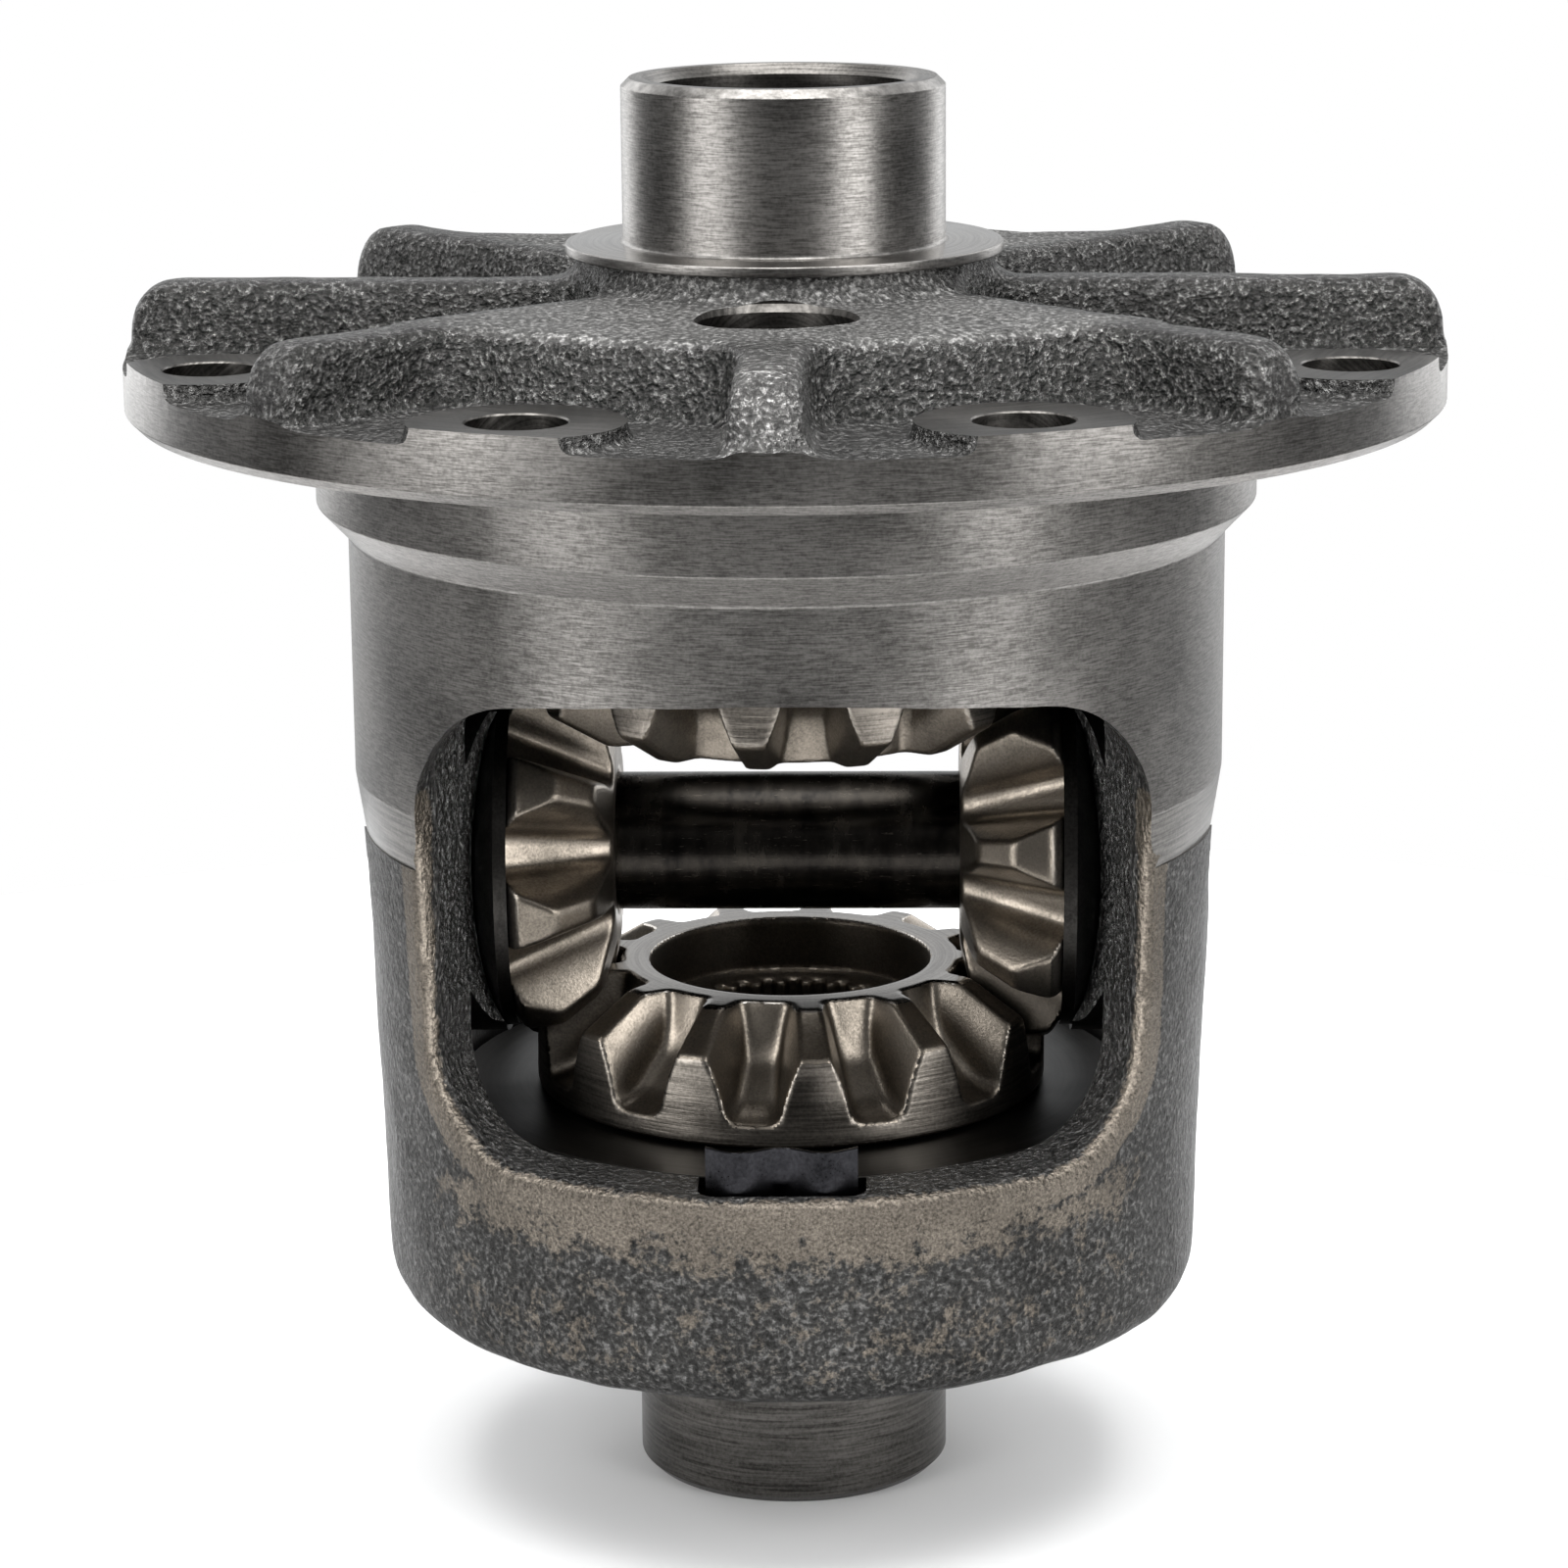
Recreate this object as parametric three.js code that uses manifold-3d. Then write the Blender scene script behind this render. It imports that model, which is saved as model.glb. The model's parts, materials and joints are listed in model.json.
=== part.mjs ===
import * as THREE from "three";
import { mergeVertices } from "three/addons/utils/BufferGeometryUtils.js";
import Module from "manifold-3d";

const wasm = await Module();
wasm.setup();

// A rear-axle differential: a one-piece cast case with a limited-slip gear set inside it.
// Millimetres. +Z is the axle line, z = 0 is the end of the lower bearing journal,
// +X is the line of the cross shaft and -Y is the front window.

// ---- driving dimensions ----
const AXIS_Z = 85.3; // height of the cross shaft
const CASE_HEIGHT = 185.4;

const JOURNAL_R = 20.65; // 1 5/8 in bearing bore
const JOURNAL_LENGTH = 20.8;
const JOURNAL_CHAMFER = 1.1;
const AXLE_BORE_R = 16.7;
const SHOULDER_R = 28.0;

const BODY_BOTTOM_Z = 25.7;
const BODY_R = 56.64;
const BODY_CAST_R = 55.4;
const BODY_LOW_R = 53.5;
const PILOT_R = 60.6;
const FLANGE_R = 84.4;
const FLANGE_FACE_Z = 144.1;
const FLANGE_TOP_Z = 150.5;
const FLANGE_CHAMFER = 1.0;
const PLATEAU_Z = 160.0; // top of the ribs and of the raised webs over the windows
const PLATEAU_R = 57.6;
const PLATEAU_FOOT_R = 63.1;

const RIB_COUNT = 8;
const RIB_WIDTH = 8.4;
const RIB_START_R = 24.0;
const RIB_END_R = 83.9;
const RIB_CORNER_R = 6.0;
const BOLT_COUNT = 8;
const BOLT_CIRCLE_R = 75.5;
const BOLT_HOLE_R = 5.95;
const BOSS_R = 12.6;
const BOSS_TOP_Z = 152.6;

const ACCESS_HOLE_R = 9.5;
const ACCESS_HOLE_Y = -38.5;

const CAVITY_R = 45.4;
const CAVITY_REACH = 47.8; // from the cross shaft to each end wall
const WINDOW_LOW_Z = 53.5;
const WINDOW_HIGH_Z = 115.6;
const WINDOW_INNER_Y = 22.0;
const WINDOW_INNER_HALF = 41.3;
const WINDOW_OUTER_Y = 62.0;
const WINDOW_FLARE = 0.4; // widening of each side per millimetre outwards
const WINDOW_CORNER_R = 8.8;

const EAR_SLOT_HALF = 10.4;
const EAR_SLOT_REACH = 51.9;
const EAR_SLOT_START = 30.0; // from the cross shaft

const SEAT_R = 44.6; // spherical seat behind each pinion
const SEAT_PAD_R = 25.0;
const SEAT_PAD_INNER = 34.0;

const SHAFT_R = 9.05;
const SHAFT_HALF = 54.4;
const SHAFT_CHAMFER = 0.9;
const SHAFT_HOLE_R = 9.35;
const LOCK_PIN_X = 50.4;
const LOCK_PIN_R = 2.4;
const LOCK_PIN_FROM_Y = 22.6;
const LOCK_PIN_TO_Y = -10.5;
const LOCK_HOLE_CLEARANCE = 0.3;

// Straight bevel gears: cone angles in degrees from each gear's own axis.
const SIDE_TEETH = 13;
const PINION_TEETH = 9;
const PRESSURE_ANGLE = 24;
const SIDE_TIP_ANGLE = 59.0;
const SIDE_ROOT_ANGLE = 47.2;
const PINION_TIP_ANGLE = 41.6;
const PINION_ROOT_ANGLE = 30.1;
const SIDE_TOOTH_SHARE = 0.4; // tooth thickness over circular pitch
const PINION_TOOTH_SHARE = 0.54;

const SIDE_TOE = 15.7; // flat toe ring, from the cross shaft
const SIDE_OUTER_R = 33.7;
const SIDE_BACK = 31.8; // back of the toothed body
const SIDE_BORE_R = 18.57;
const SIDE_BORE_DEPTH = 8.5;
const SIDE_HUB_END = 46.8;
const SIDE_WALL_TOP_R = 22.4; // toe wall that closes each tooth space
const SIDE_WALL_SLOPE = 0.27;
const SIDE_FLOOR_R = 30.2; // where the floor of a space flattens
const SIDE_FLOOR_END_R = 36.0;
const SIDE_FLOOR_END = 29.4;
const AXLE_SPLINE_COUNT = 28;
const AXLE_SPLINE_ROOT_R = 15.9;
const AXLE_SPLINE_TIP_R = 14.9;
const HUB_SPLINE_COUNT = 14;
const HUB_SPLINE_ROOT_R = 26.0;
const HUB_SPLINE_TIP_R = 27.0;

const PINION_TOE = 22.4;
const PINION_TOE_RING_R = 13.5;
const PINION_TOOTH_TOE = 24.3;
const PINION_OUTER_R = 25.8;
const PINION_BACK_R = 42.7; // spherical back, centred where the gear axes cross
const PINION_BORE_R = 9.35;
const WASHER_INNER_R = 42.95;
const WASHER_OUTER_R = 44.35;
const WASHER_HOLE_R = 9.7;
const WASHER_RIM_R = 24.4;

const PACK_START = 32.1; // face of the first plate, from the cross shaft
const PACK_GAP = 0.16;
const STEEL_COUNT = 4;
const DISC_COUNT = 3;
const STEEL_THICKNESS = 1.35;
const STEEL_OUTER_R = 44.4;
const STEEL_INNER_R = 28.3;
const EAR_HALF = 7.0;
const EAR_REACH = 47.4;
const DISC_THICKNESS = 1.6;
const DISC_OUTER_R = 43.0;
const DISC_SPLINE_CLEARANCE = 0.35;
const SPRING_INNER_R = 30.0;
const SPRING_OUTER_R = 43.0;
const SPRING_THICKNESS = 1.2;
const SPRING_RISE = 0.9;

const GUIDE_HALF = 9.4;
const GUIDE_THICKNESS = 0.8;
const GUIDE_MID_Y = 48.9;
const GUIDE_TROUGH_Y = 51.0;
const GUIDE_END_Y = 48.2;
const GUIDE_LOWER_START = 26.4; // stands proud of the window sill
const GUIDE_UPPER_START = 31.0;
const GUIDE_END = 45.0;

const CASE_SEGMENTS = 48;
const DEG = Math.PI / 180;

// ---- materials ----
const paint = (color, roughness, metalness) =>
  new THREE.MeshStandardMaterial({ color, roughness, metalness });
const CAST_IRON = paint(0x4a4844, 0.6, 0.75);
const GEAR_STEEL = paint(0x5c564c, 0.45, 0.85);
const SHAFT_STEEL = paint(0x1d1b1a, 0.25, 0.8);
const PLATE_STEEL = paint(0x6d6a66, 0.35, 0.9);
const FRICTION = paint(0x3a342c, 0.8, 0.2);
const SPRING_STEEL = paint(0x23242a, 0.35, 0.85);

// ---- solid helpers ----
function solidOf(geometry) {
  const bare = geometry.clone();
  bare.deleteAttribute("normal");
  bare.deleteAttribute("uv");
  const merged = mergeVertices(bare, 1e-4);
  const kept = [];
  const index = merged.index.array;
  for (let i = 0; i < index.length; i += 3) {
    const [a, b, c] = [index[i], index[i + 1], index[i + 2]];
    if (a !== b && b !== c && a !== c) kept.push(a, b, c);
  }
  const build = (order) =>
    new wasm.Manifold(
      new wasm.Mesh({
        numProp: 3,
        vertProperties: merged.attributes.position.array,
        triVerts: new Uint32Array(order),
      }),
    );
  const solid = build(kept);
  if (solid.volume() > 0) return solid;
  for (let i = 0; i < kept.length; i += 3) {
    [kept[i], kept[i + 1]] = [kept[i + 1], kept[i]];
  }
  return build(kept);
}

function geometryOf(solid) {
  const mesh = solid.getMesh();
  const geometry = new THREE.BufferGeometry();
  geometry.setAttribute("position", new THREE.BufferAttribute(mesh.vertProperties, 3));
  geometry.setIndex(new THREE.BufferAttribute(mesh.triVerts, 1));
  geometry.computeVertexNormals();
  return geometry;
}

// Turns a profile of [radius, height] pairs about Z.
function turned(profile, segments) {
  const points = profile.map(([r, h]) => new THREE.Vector2(r, h));
  const geometry = new THREE.LatheGeometry(points, segments);
  geometry.rotateX(Math.PI / 2);
  return solidOf(geometry);
}

function cylinder(radius, from, to, segments) {
  return turned([[0, from], [radius, from], [radius, to], [0, to]], segments);
}

function box(x0, x1, y0, y1, z0, z1) {
  const geometry = new THREE.BoxGeometry(x1 - x0, y1 - y0, z1 - z0);
  geometry.translate((x0 + x1) / 2, (y0 + y1) / 2, (z0 + z1) / 2);
  return solidOf(geometry);
}

function prism(outline, holes, z0, z1) {
  const shape = new THREE.Shape(outline);
  holes.forEach((hole) => shape.holes.push(new THREE.Path(hole)));
  const geometry = new THREE.ExtrudeGeometry(shape, {
    depth: z1 - z0,
    bevelEnabled: false,
    steps: 1,
  });
  geometry.translate(0, 0, z0);
  return solidOf(geometry);
}

// Joins rings of matching points into one closed body; the flat outline guides its end caps.
function lofted(rings, outline) {
  const count = outline.length;
  const faces = THREE.ShapeUtils.triangulateShape(outline, []);
  const last = (rings.length - 1) * count;
  const index = [];
  faces.forEach(([a, b, c]) => {
    index.push(c, b, a);
    index.push(last + a, last + b, last + c);
  });
  for (let ring = 0; ring + 1 < rings.length; ring += 1) {
    for (let i = 0; i < count; i += 1) {
      const a = ring * count + i;
      const b = ring * count + ((i + 1) % count);
      index.push(a, b, b + count);
      index.push(a, b + count, a + count);
    }
  }
  const geometry = new THREE.BufferGeometry();
  geometry.setFromPoints(rings.flat());
  geometry.setIndex(index);
  return solidOf(geometry);
}

const joined = (solids) => solids.reduce((sum, next) => sum.add(next));
const cut = (solid, tools) => tools.reduce((rest, tool) => rest.subtract(tool), solid);

function ringPoints(radius, count) {
  const points = [];
  for (let i = 0; i < count; i += 1) {
    const angle = (i * 2 * Math.PI) / count;
    points.push(new THREE.Vector2(radius * Math.cos(angle), radius * Math.sin(angle)));
  }
  return points;
}

// A star outline: each tooth is a trapezoid between a root and a tip radius.
function splinePoints(rootR, tipR, count) {
  const points = [];
  const step = (2 * Math.PI) / count;
  const corners = [[-0.32, rootR], [-0.2, tipR], [0.2, tipR], [0.32, rootR]];
  for (let i = 0; i < count; i += 1) {
    corners.forEach(([share, r]) => {
      const angle = (i + share) * step;
      points.push(new THREE.Vector2(r * Math.cos(angle), r * Math.sin(angle)));
    });
  }
  return points;
}

// A finely serrated outline that swings between two radii.
function serrationPoints(nearR, farR, count) {
  const points = [];
  for (let i = 0; i < 2 * count; i += 1) {
    const angle = (i * Math.PI) / count;
    const r = i % 2 ? nearR : farR;
    points.push(new THREE.Vector2(r * Math.cos(angle), r * Math.sin(angle)));
  }
  return points;
}

// ---- bevel teeth ----
const involute = (angle) => Math.tan(angle) - angle;

// Half the angle a tooth takes up about its gear's axis, at a cone angle.
function toothHalfAngle(cone, gear) {
  const pitch = gear.pitch;
  const pitchR = Math.tan(pitch);
  const baseR = pitchR * Math.cos(PRESSURE_ANGLE * DEG);
  const here = pitchR + Math.tan(cone - pitch);
  const half = (gear.share * Math.PI * Math.sin(pitch)) / gear.teeth;
  const flank = Math.acos(Math.min(1, baseR / here));
  const angle = half / pitchR + involute(PRESSURE_ANGLE * DEG) - involute(flank);
  return (angle * here * Math.cos(cone - pitch)) / Math.sin(cone);
}

// The outline of a tooth space as [cone angle, angle about the axis], floor first.
function spaceOutline(gear) {
  const root = gear.root;
  const top = gear.tip + 3.2 * DEG;
  const levels = [0.1, 0.4, 0.72, 1];
  const side = levels.map((share) => {
    const cone = root + share * (top - root);
    return [cone, Math.PI / gear.teeth - toothHalfAngle(cone, gear)];
  });
  const corner = side[0][1] * 0.78;
  const right = [[root, corner], ...side];
  const left = right.map(([cone, angle]) => [cone, -angle]).reverse();
  return [...right, ...left, [root, 0]];
}

function onCone(distance, cone, angle) {
  const r = distance * Math.sin(cone);
  return new THREE.Vector3(
    r * Math.cos(angle),
    r * Math.sin(angle),
    distance * Math.cos(cone),
  );
}

// Cuts every tooth space; stations give the distance from the apex for each outline point.
function cutSpaces(blank, gear, stations, phase) {
  const outline = spaceOutline(gear);
  const flat = outline.map(([cone, angle]) => new THREE.Vector2(angle, cone));
  const tools = [];
  for (let i = 0; i < gear.teeth; i += 1) {
    const turn = phase + (i * 2 * Math.PI) / gear.teeth;
    const rings = stations.map((station) =>
      outline.map(([cone, angle]) => {
        const at = station(cone);
        return onCone(at.distance, at.cone, angle + turn);
      }),
    );
    tools.push(lofted(rings, flat));
  }
  return cut(blank, tools);
}

const sideGear = {
  teeth: SIDE_TEETH,
  pitch: Math.atan(SIDE_TEETH / PINION_TEETH),
  tip: SIDE_TIP_ANGLE * DEG,
  root: SIDE_ROOT_ANGLE * DEG,
  share: SIDE_TOOTH_SHARE,
};
const pinionGear = {
  teeth: PINION_TEETH,
  pitch: Math.atan(PINION_TEETH / SIDE_TEETH),
  tip: PINION_TIP_ANGLE * DEG,
  root: PINION_ROOT_ANGLE * DEG,
  share: PINION_TOOTH_SHARE,
};

// A side gear with its apex at the origin and its back towards +Z.
function sideGearSolid(phase) {
  const tipStartR = SIDE_TOE * Math.tan(sideGear.tip);
  const tipEnd = SIDE_OUTER_R / Math.tan(sideGear.tip);
  const body = turned(
    [
      [SIDE_BORE_R, SIDE_TOE],
      [tipStartR, SIDE_TOE],
      [SIDE_OUTER_R, tipEnd],
      [SIDE_OUTER_R, SIDE_BACK],
      [AXLE_BORE_R, SIDE_BACK],
      [AXLE_BORE_R, SIDE_TOE + SIDE_BORE_DEPTH],
      [SIDE_BORE_R, SIDE_TOE + SIDE_BORE_DEPTH - 1.2],
      [SIDE_BORE_R, SIDE_TOE],
    ],
    SIDE_TEETH * 4,
  );
  const wall = (cone) => {
    const reach = SIDE_WALL_TOP_R - SIDE_WALL_SLOPE * SIDE_TOE;
    const distance = reach / (Math.sin(cone) - SIDE_WALL_SLOPE * Math.cos(cone));
    return { distance, cone };
  };
  const middle = (cone) => ({ distance: SIDE_FLOOR_R / Math.sin(sideGear.root), cone });
  const floorEnd = Math.atan(SIDE_FLOOR_END_R / SIDE_FLOOR_END);
  const end = (cone) => {
    const distance = Math.hypot(SIDE_FLOOR_END_R, SIDE_FLOOR_END);
    return { distance, cone: Math.max(cone, floorEnd) };
  };
  const toothed = cutSpaces(body, sideGear, [wall, middle, end], phase);
  const hub = prism(
    splinePoints(HUB_SPLINE_ROOT_R, HUB_SPLINE_TIP_R, HUB_SPLINE_COUNT),
    [],
    SIDE_BACK - 1,
    SIDE_HUB_END,
  );
  const splines = prism(
    serrationPoints(AXLE_SPLINE_TIP_R, AXLE_SPLINE_ROOT_R, AXLE_SPLINE_COUNT),
    [],
    SIDE_TOE,
    SIDE_HUB_END + 1,
  );
  const core = turned(
    [
      [AXLE_SPLINE_TIP_R - 2, SIDE_TOE + SIDE_BORE_DEPTH],
      [AXLE_BORE_R + 1, SIDE_TOE + SIDE_BORE_DEPTH],
      [AXLE_BORE_R + 1, SIDE_HUB_END],
      [AXLE_SPLINE_TIP_R - 2, SIDE_HUB_END],
      [AXLE_SPLINE_TIP_R - 2, SIDE_TOE + SIDE_BORE_DEPTH],
    ],
    SIDE_TEETH * 4,
  );
  return cut(joined([toothed, hub, core]), [splines]);
}

// A pinion with its apex at the origin and its back towards +Z.
function pinionSolid(phase) {
  const toothToeR = PINION_TOOTH_TOE * Math.tan(pinionGear.tip);
  const tipEnd = PINION_OUTER_R / Math.tan(pinionGear.tip);
  const back = [PINION_OUTER_R, 21.5, 15.5, PINION_BORE_R].map((r) => [
    r,
    Math.sqrt(PINION_BACK_R ** 2 - r ** 2),
  ]);
  const blank = turned(
    [
      [PINION_BORE_R, PINION_TOE],
      [PINION_TOE_RING_R, PINION_TOE],
      [toothToeR, PINION_TOOTH_TOE],
      [PINION_OUTER_R, tipEnd],
      ...back,
      [PINION_BORE_R, PINION_TOE],
    ],
    PINION_TEETH * 4,
  );
  const start = (cone) => ({ distance: 20 / Math.cos(cone), cone });
  const end = (cone) => ({ distance: PINION_BACK_R + 3, cone });
  return cutSpaces(blank, pinionGear, [start, end], phase);
}

// ---- the case ----
function roundedRect(half, low, high, y) {
  const points = [];
  const corners = [
    [half, low, -90],
    [half, high, 0],
    [-half, high, 90],
    [-half, low, 180],
  ];
  corners.forEach(([x, z, from]) => {
    const cx = x - Math.sign(x) * WINDOW_CORNER_R;
    const cz = z === low ? z + WINDOW_CORNER_R : z - WINDOW_CORNER_R;
    for (let i = 0; i <= 4; i += 1) {
      const angle = (from + i * 22.5) * DEG;
      points.push(
        new THREE.Vector3(
          cx + WINDOW_CORNER_R * Math.cos(angle),
          y,
          cz + WINDOW_CORNER_R * Math.sin(angle),
        ),
      );
    }
  });
  return points;
}

function windowCutter(side) {
  const widening = (WINDOW_OUTER_Y - WINDOW_INNER_Y) * WINDOW_FLARE;
  const inner = roundedRect(
    WINDOW_INNER_HALF,
    WINDOW_LOW_Z,
    WINDOW_HIGH_Z,
    side * WINDOW_INNER_Y,
  );
  const outer = roundedRect(
    WINDOW_INNER_HALF + widening,
    WINDOW_LOW_Z,
    WINDOW_HIGH_Z,
    side * WINDOW_OUTER_Y,
  );
  const outline = inner.map((point) => new THREE.Vector2(point.x, point.z));
  return lofted([inner, outer], outline);
}

function ribSolid(turn) {
  const corner = RIB_CORNER_R;
  const outline = [
    new THREE.Vector2(RIB_START_R, FLANGE_FACE_Z + 3),
    new THREE.Vector2(RIB_END_R, FLANGE_FACE_Z + 3),
  ];
  for (let i = 0; i <= 3; i += 1) {
    const angle = i * 30 * DEG;
    outline.push(
      new THREE.Vector2(
        RIB_END_R - corner + corner * Math.cos(angle),
        PLATEAU_Z - corner + corner * Math.sin(angle),
      ),
    );
  }
  outline.push(new THREE.Vector2(RIB_START_R, PLATEAU_Z));
  const geometry = new THREE.ExtrudeGeometry(new THREE.Shape(outline), {
    depth: RIB_WIDTH,
    bevelEnabled: false,
    steps: 1,
  });
  geometry.translate(0, 0, -RIB_WIDTH / 2);
  geometry.rotateX(Math.PI / 2);
  geometry.rotateZ(turn);
  return solidOf(geometry);
}

function caseSolid() {
  const chamferR = JOURNAL_R - JOURNAL_CHAMFER;
  const shoulderTop = CASE_HEIGHT - JOURNAL_LENGTH;
  const outside = turned(
    [
      [0, 0],
      [chamferR, 0],
      [JOURNAL_R, JOURNAL_CHAMFER],
      [JOURNAL_R, JOURNAL_LENGTH],
      [SHOULDER_R, JOURNAL_LENGTH],
      [SHOULDER_R, BODY_BOTTOM_Z],
      [BODY_LOW_R - 4.8, BODY_BOTTOM_Z],
      [BODY_LOW_R - 1.4, BODY_BOTTOM_Z + 1.5],
      [BODY_LOW_R, BODY_BOTTOM_Z + 5],
      [BODY_CAST_R, AXIS_Z + 2],
      [BODY_R, 96.9],
      [BODY_R, 128.8],
      [PILOT_R, 132.6],
      [PILOT_R, FLANGE_FACE_Z],
      [FLANGE_R - FLANGE_CHAMFER, FLANGE_FACE_Z],
      [FLANGE_R, FLANGE_FACE_Z + FLANGE_CHAMFER],
      [FLANGE_R, FLANGE_TOP_Z],
      [SHOULDER_R, FLANGE_TOP_Z],
      [SHOULDER_R, shoulderTop],
      [JOURNAL_R, shoulderTop],
      [JOURNAL_R, CASE_HEIGHT - JOURNAL_CHAMFER],
      [chamferR, CASE_HEIGHT],
      [0, CASE_HEIGHT],
    ],
    CASE_SEGMENTS,
  );
  const mound = turned(
    [
      [0, FLANGE_FACE_Z + 3],
      [PLATEAU_FOOT_R, FLANGE_FACE_Z + 3],
      [PLATEAU_FOOT_R, FLANGE_TOP_Z],
      [PLATEAU_R, PLATEAU_Z],
      [0, PLATEAU_Z],
    ],
    CASE_SEGMENTS,
  );
  const webs = [-1, 1].map((front) => {
    const corners = [[0, 0], [FLANGE_R, front * FLANGE_R], [-FLANGE_R, front * FLANGE_R]];
    const outline = corners.map(([x, y]) => new THREE.Vector2(x, y));
    return prism(outline, [], FLANGE_FACE_Z, CASE_HEIGHT).intersect(mound);
  });
  const rim = cylinder(FLANGE_R, FLANGE_FACE_Z + 2, BOSS_TOP_Z + 1, CASE_SEGMENTS);
  const ribs = [];
  for (let i = 0; i < RIB_COUNT; i += 1) {
    ribs.push(ribSolid((i * 2 * Math.PI) / RIB_COUNT));
  }
  const bosses = [];
  const boltHoles = [];
  for (let i = 0; i < BOLT_COUNT; i += 1) {
    const angle = ((i + 0.5) * 2 * Math.PI) / BOLT_COUNT;
    const at = [BOLT_CIRCLE_R * Math.cos(angle), BOLT_CIRCLE_R * Math.sin(angle), 0];
    const boss = cylinder(BOSS_R, FLANGE_FACE_Z + 2, BOSS_TOP_Z, 20);
    bosses.push(boss.translate(at).intersect(rim));
    const hole = cylinder(BOLT_HOLE_R, FLANGE_FACE_Z - 1, BOSS_TOP_Z + 1, 14);
    boltHoles.push(hole.translate(at));
  }
  const cavity = cylinder(
    CAVITY_R,
    AXIS_Z - CAVITY_REACH,
    AXIS_Z + CAVITY_REACH,
    CASE_SEGMENTS,
  );
  const arc = [];
  for (let i = 0; i <= 4; i += 1) {
    const r = (SEAT_PAD_R + 2) * (1 - i / 4);
    arc.push([r, Math.sqrt(SEAT_R ** 2 - r ** 2)]);
  }
  const dome = turned([[0, 0], [SEAT_PAD_R + 2, 0], ...arc], 32);
  const pad = cylinder(SEAT_PAD_R, SEAT_PAD_INNER, CAVITY_R + 2, 32).subtract(dome);
  const pads = [90, -90].map((turn) => pad.rotate([0, turn, 0]).translate([0, 0, AXIS_Z]));
  const slots = [];
  [-1, 1].forEach((front) => {
    [-1, 1].forEach((up) => {
      const y = [40, EAR_SLOT_REACH].map((v) => v * front).sort((a, b) => a - b);
      const z = [EAR_SLOT_START, CAVITY_REACH]
        .map((v) => AXIS_Z + v * up)
        .sort((a, b) => a - b);
      slots.push(box(-EAR_SLOT_HALF, EAR_SLOT_HALF, y[0], y[1], z[0], z[1]));
    });
  });
  const shaftHole = cylinder(SHAFT_HOLE_R, -BODY_R - 2, BODY_R + 2, 24)
    .rotate([0, 90, 0])
    .translate([0, 0, AXIS_Z]);
  const lockHole = cylinder(
    LOCK_PIN_R + LOCK_HOLE_CLEARANCE,
    LOCK_PIN_TO_Y - 1,
    LOCK_PIN_FROM_Y + 9,
    16,
  )
    .rotate([-90, 0, 0])
    .translate([LOCK_PIN_X, 0, AXIS_Z]);
  const accessHole = cylinder(ACCESS_HOLE_R, AXIS_Z + 30, PLATEAU_Z + 1, 24).translate([
    0,
    ACCESS_HOLE_Y,
    0,
  ]);
  const axleBore = cylinder(AXLE_BORE_R, -1, CASE_HEIGHT + 1, 36);
  const hollow = joined([outside, ...webs, ...ribs, ...bosses]).subtract(cavity);
  return cut(joined([hollow, ...pads]), [
    windowCutter(-1),
    windowCutter(1),
    ...slots,
    ...boltHoles,
    shaftHole,
    lockHole,
    accessHole,
    axleBore,
  ]);
}

// ---- clutch parts, measured from the cross shaft towards +Z ----
function steelPlate(from) {
  const outline = [];
  const earStart = Math.asin(EAR_HALF / STEEL_OUTER_R);
  [90, 270].forEach((centre) => {
    const middle = centre * DEG;
    const tipR = Math.hypot(EAR_HALF, EAR_REACH);
    const tipAngle = Math.atan2(EAR_HALF, EAR_REACH);
    [[STEEL_OUTER_R, -earStart], [tipR, -tipAngle], [tipR, tipAngle]].forEach(
      ([r, turn]) => {
        const angle = middle + turn;
        outline.push(new THREE.Vector2(r * Math.cos(angle), r * Math.sin(angle)));
      },
    );
    const sweep = Math.PI - 2 * earStart;
    for (let i = 0; i < 12; i += 1) {
      const angle = middle + earStart + (sweep * i) / 12;
      outline.push(
        new THREE.Vector2(STEEL_OUTER_R * Math.cos(angle), STEEL_OUTER_R * Math.sin(angle)),
      );
    }
  });
  return prism(outline, [ringPoints(STEEL_INNER_R, 22)], from, from + STEEL_THICKNESS);
}

function frictionDisc(from) {
  const inner = splinePoints(
    HUB_SPLINE_ROOT_R + DISC_SPLINE_CLEARANCE,
    HUB_SPLINE_TIP_R + DISC_SPLINE_CLEARANCE,
    HUB_SPLINE_COUNT,
  );
  return prism(ringPoints(DISC_OUTER_R, 28), [inner], from, from + DISC_THICKNESS);
}

function dishedSpring(from) {
  return turned(
    [
      [SPRING_INNER_R, from],
      [SPRING_OUTER_R, from + SPRING_RISE],
      [SPRING_OUTER_R, from + SPRING_RISE + SPRING_THICKNESS],
      [SPRING_INNER_R, from + SPRING_THICKNESS],
      [SPRING_INNER_R, from],
    ],
    28,
  );
}

// A springy strip bent into a shallow wave; its middle and both ends lean on the plate ears.
function earGuide(start) {
  const outer = [];
  const inner = [];
  for (let i = 0; i <= 12; i += 1) {
    const share = (i - 6) / 6;
    const wave = (1 - Math.cos(share * 1.72 * Math.PI)) / 2;
    const lift = Math.max(0, Math.abs(share) - 0.58) * 1.2;
    const y = GUIDE_MID_Y + (GUIDE_TROUGH_Y - GUIDE_MID_Y) * wave;
    const yHere = Math.max(GUIDE_END_Y - 1, y - lift);
    outer.push(new THREE.Vector2(share * GUIDE_HALF, yHere + GUIDE_THICKNESS / 2));
    inner.push(new THREE.Vector2(share * GUIDE_HALF, yHere - GUIDE_THICKNESS / 2));
  }
  return prism([...outer.reverse(), ...inner], [], start, GUIDE_END);
}

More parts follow.
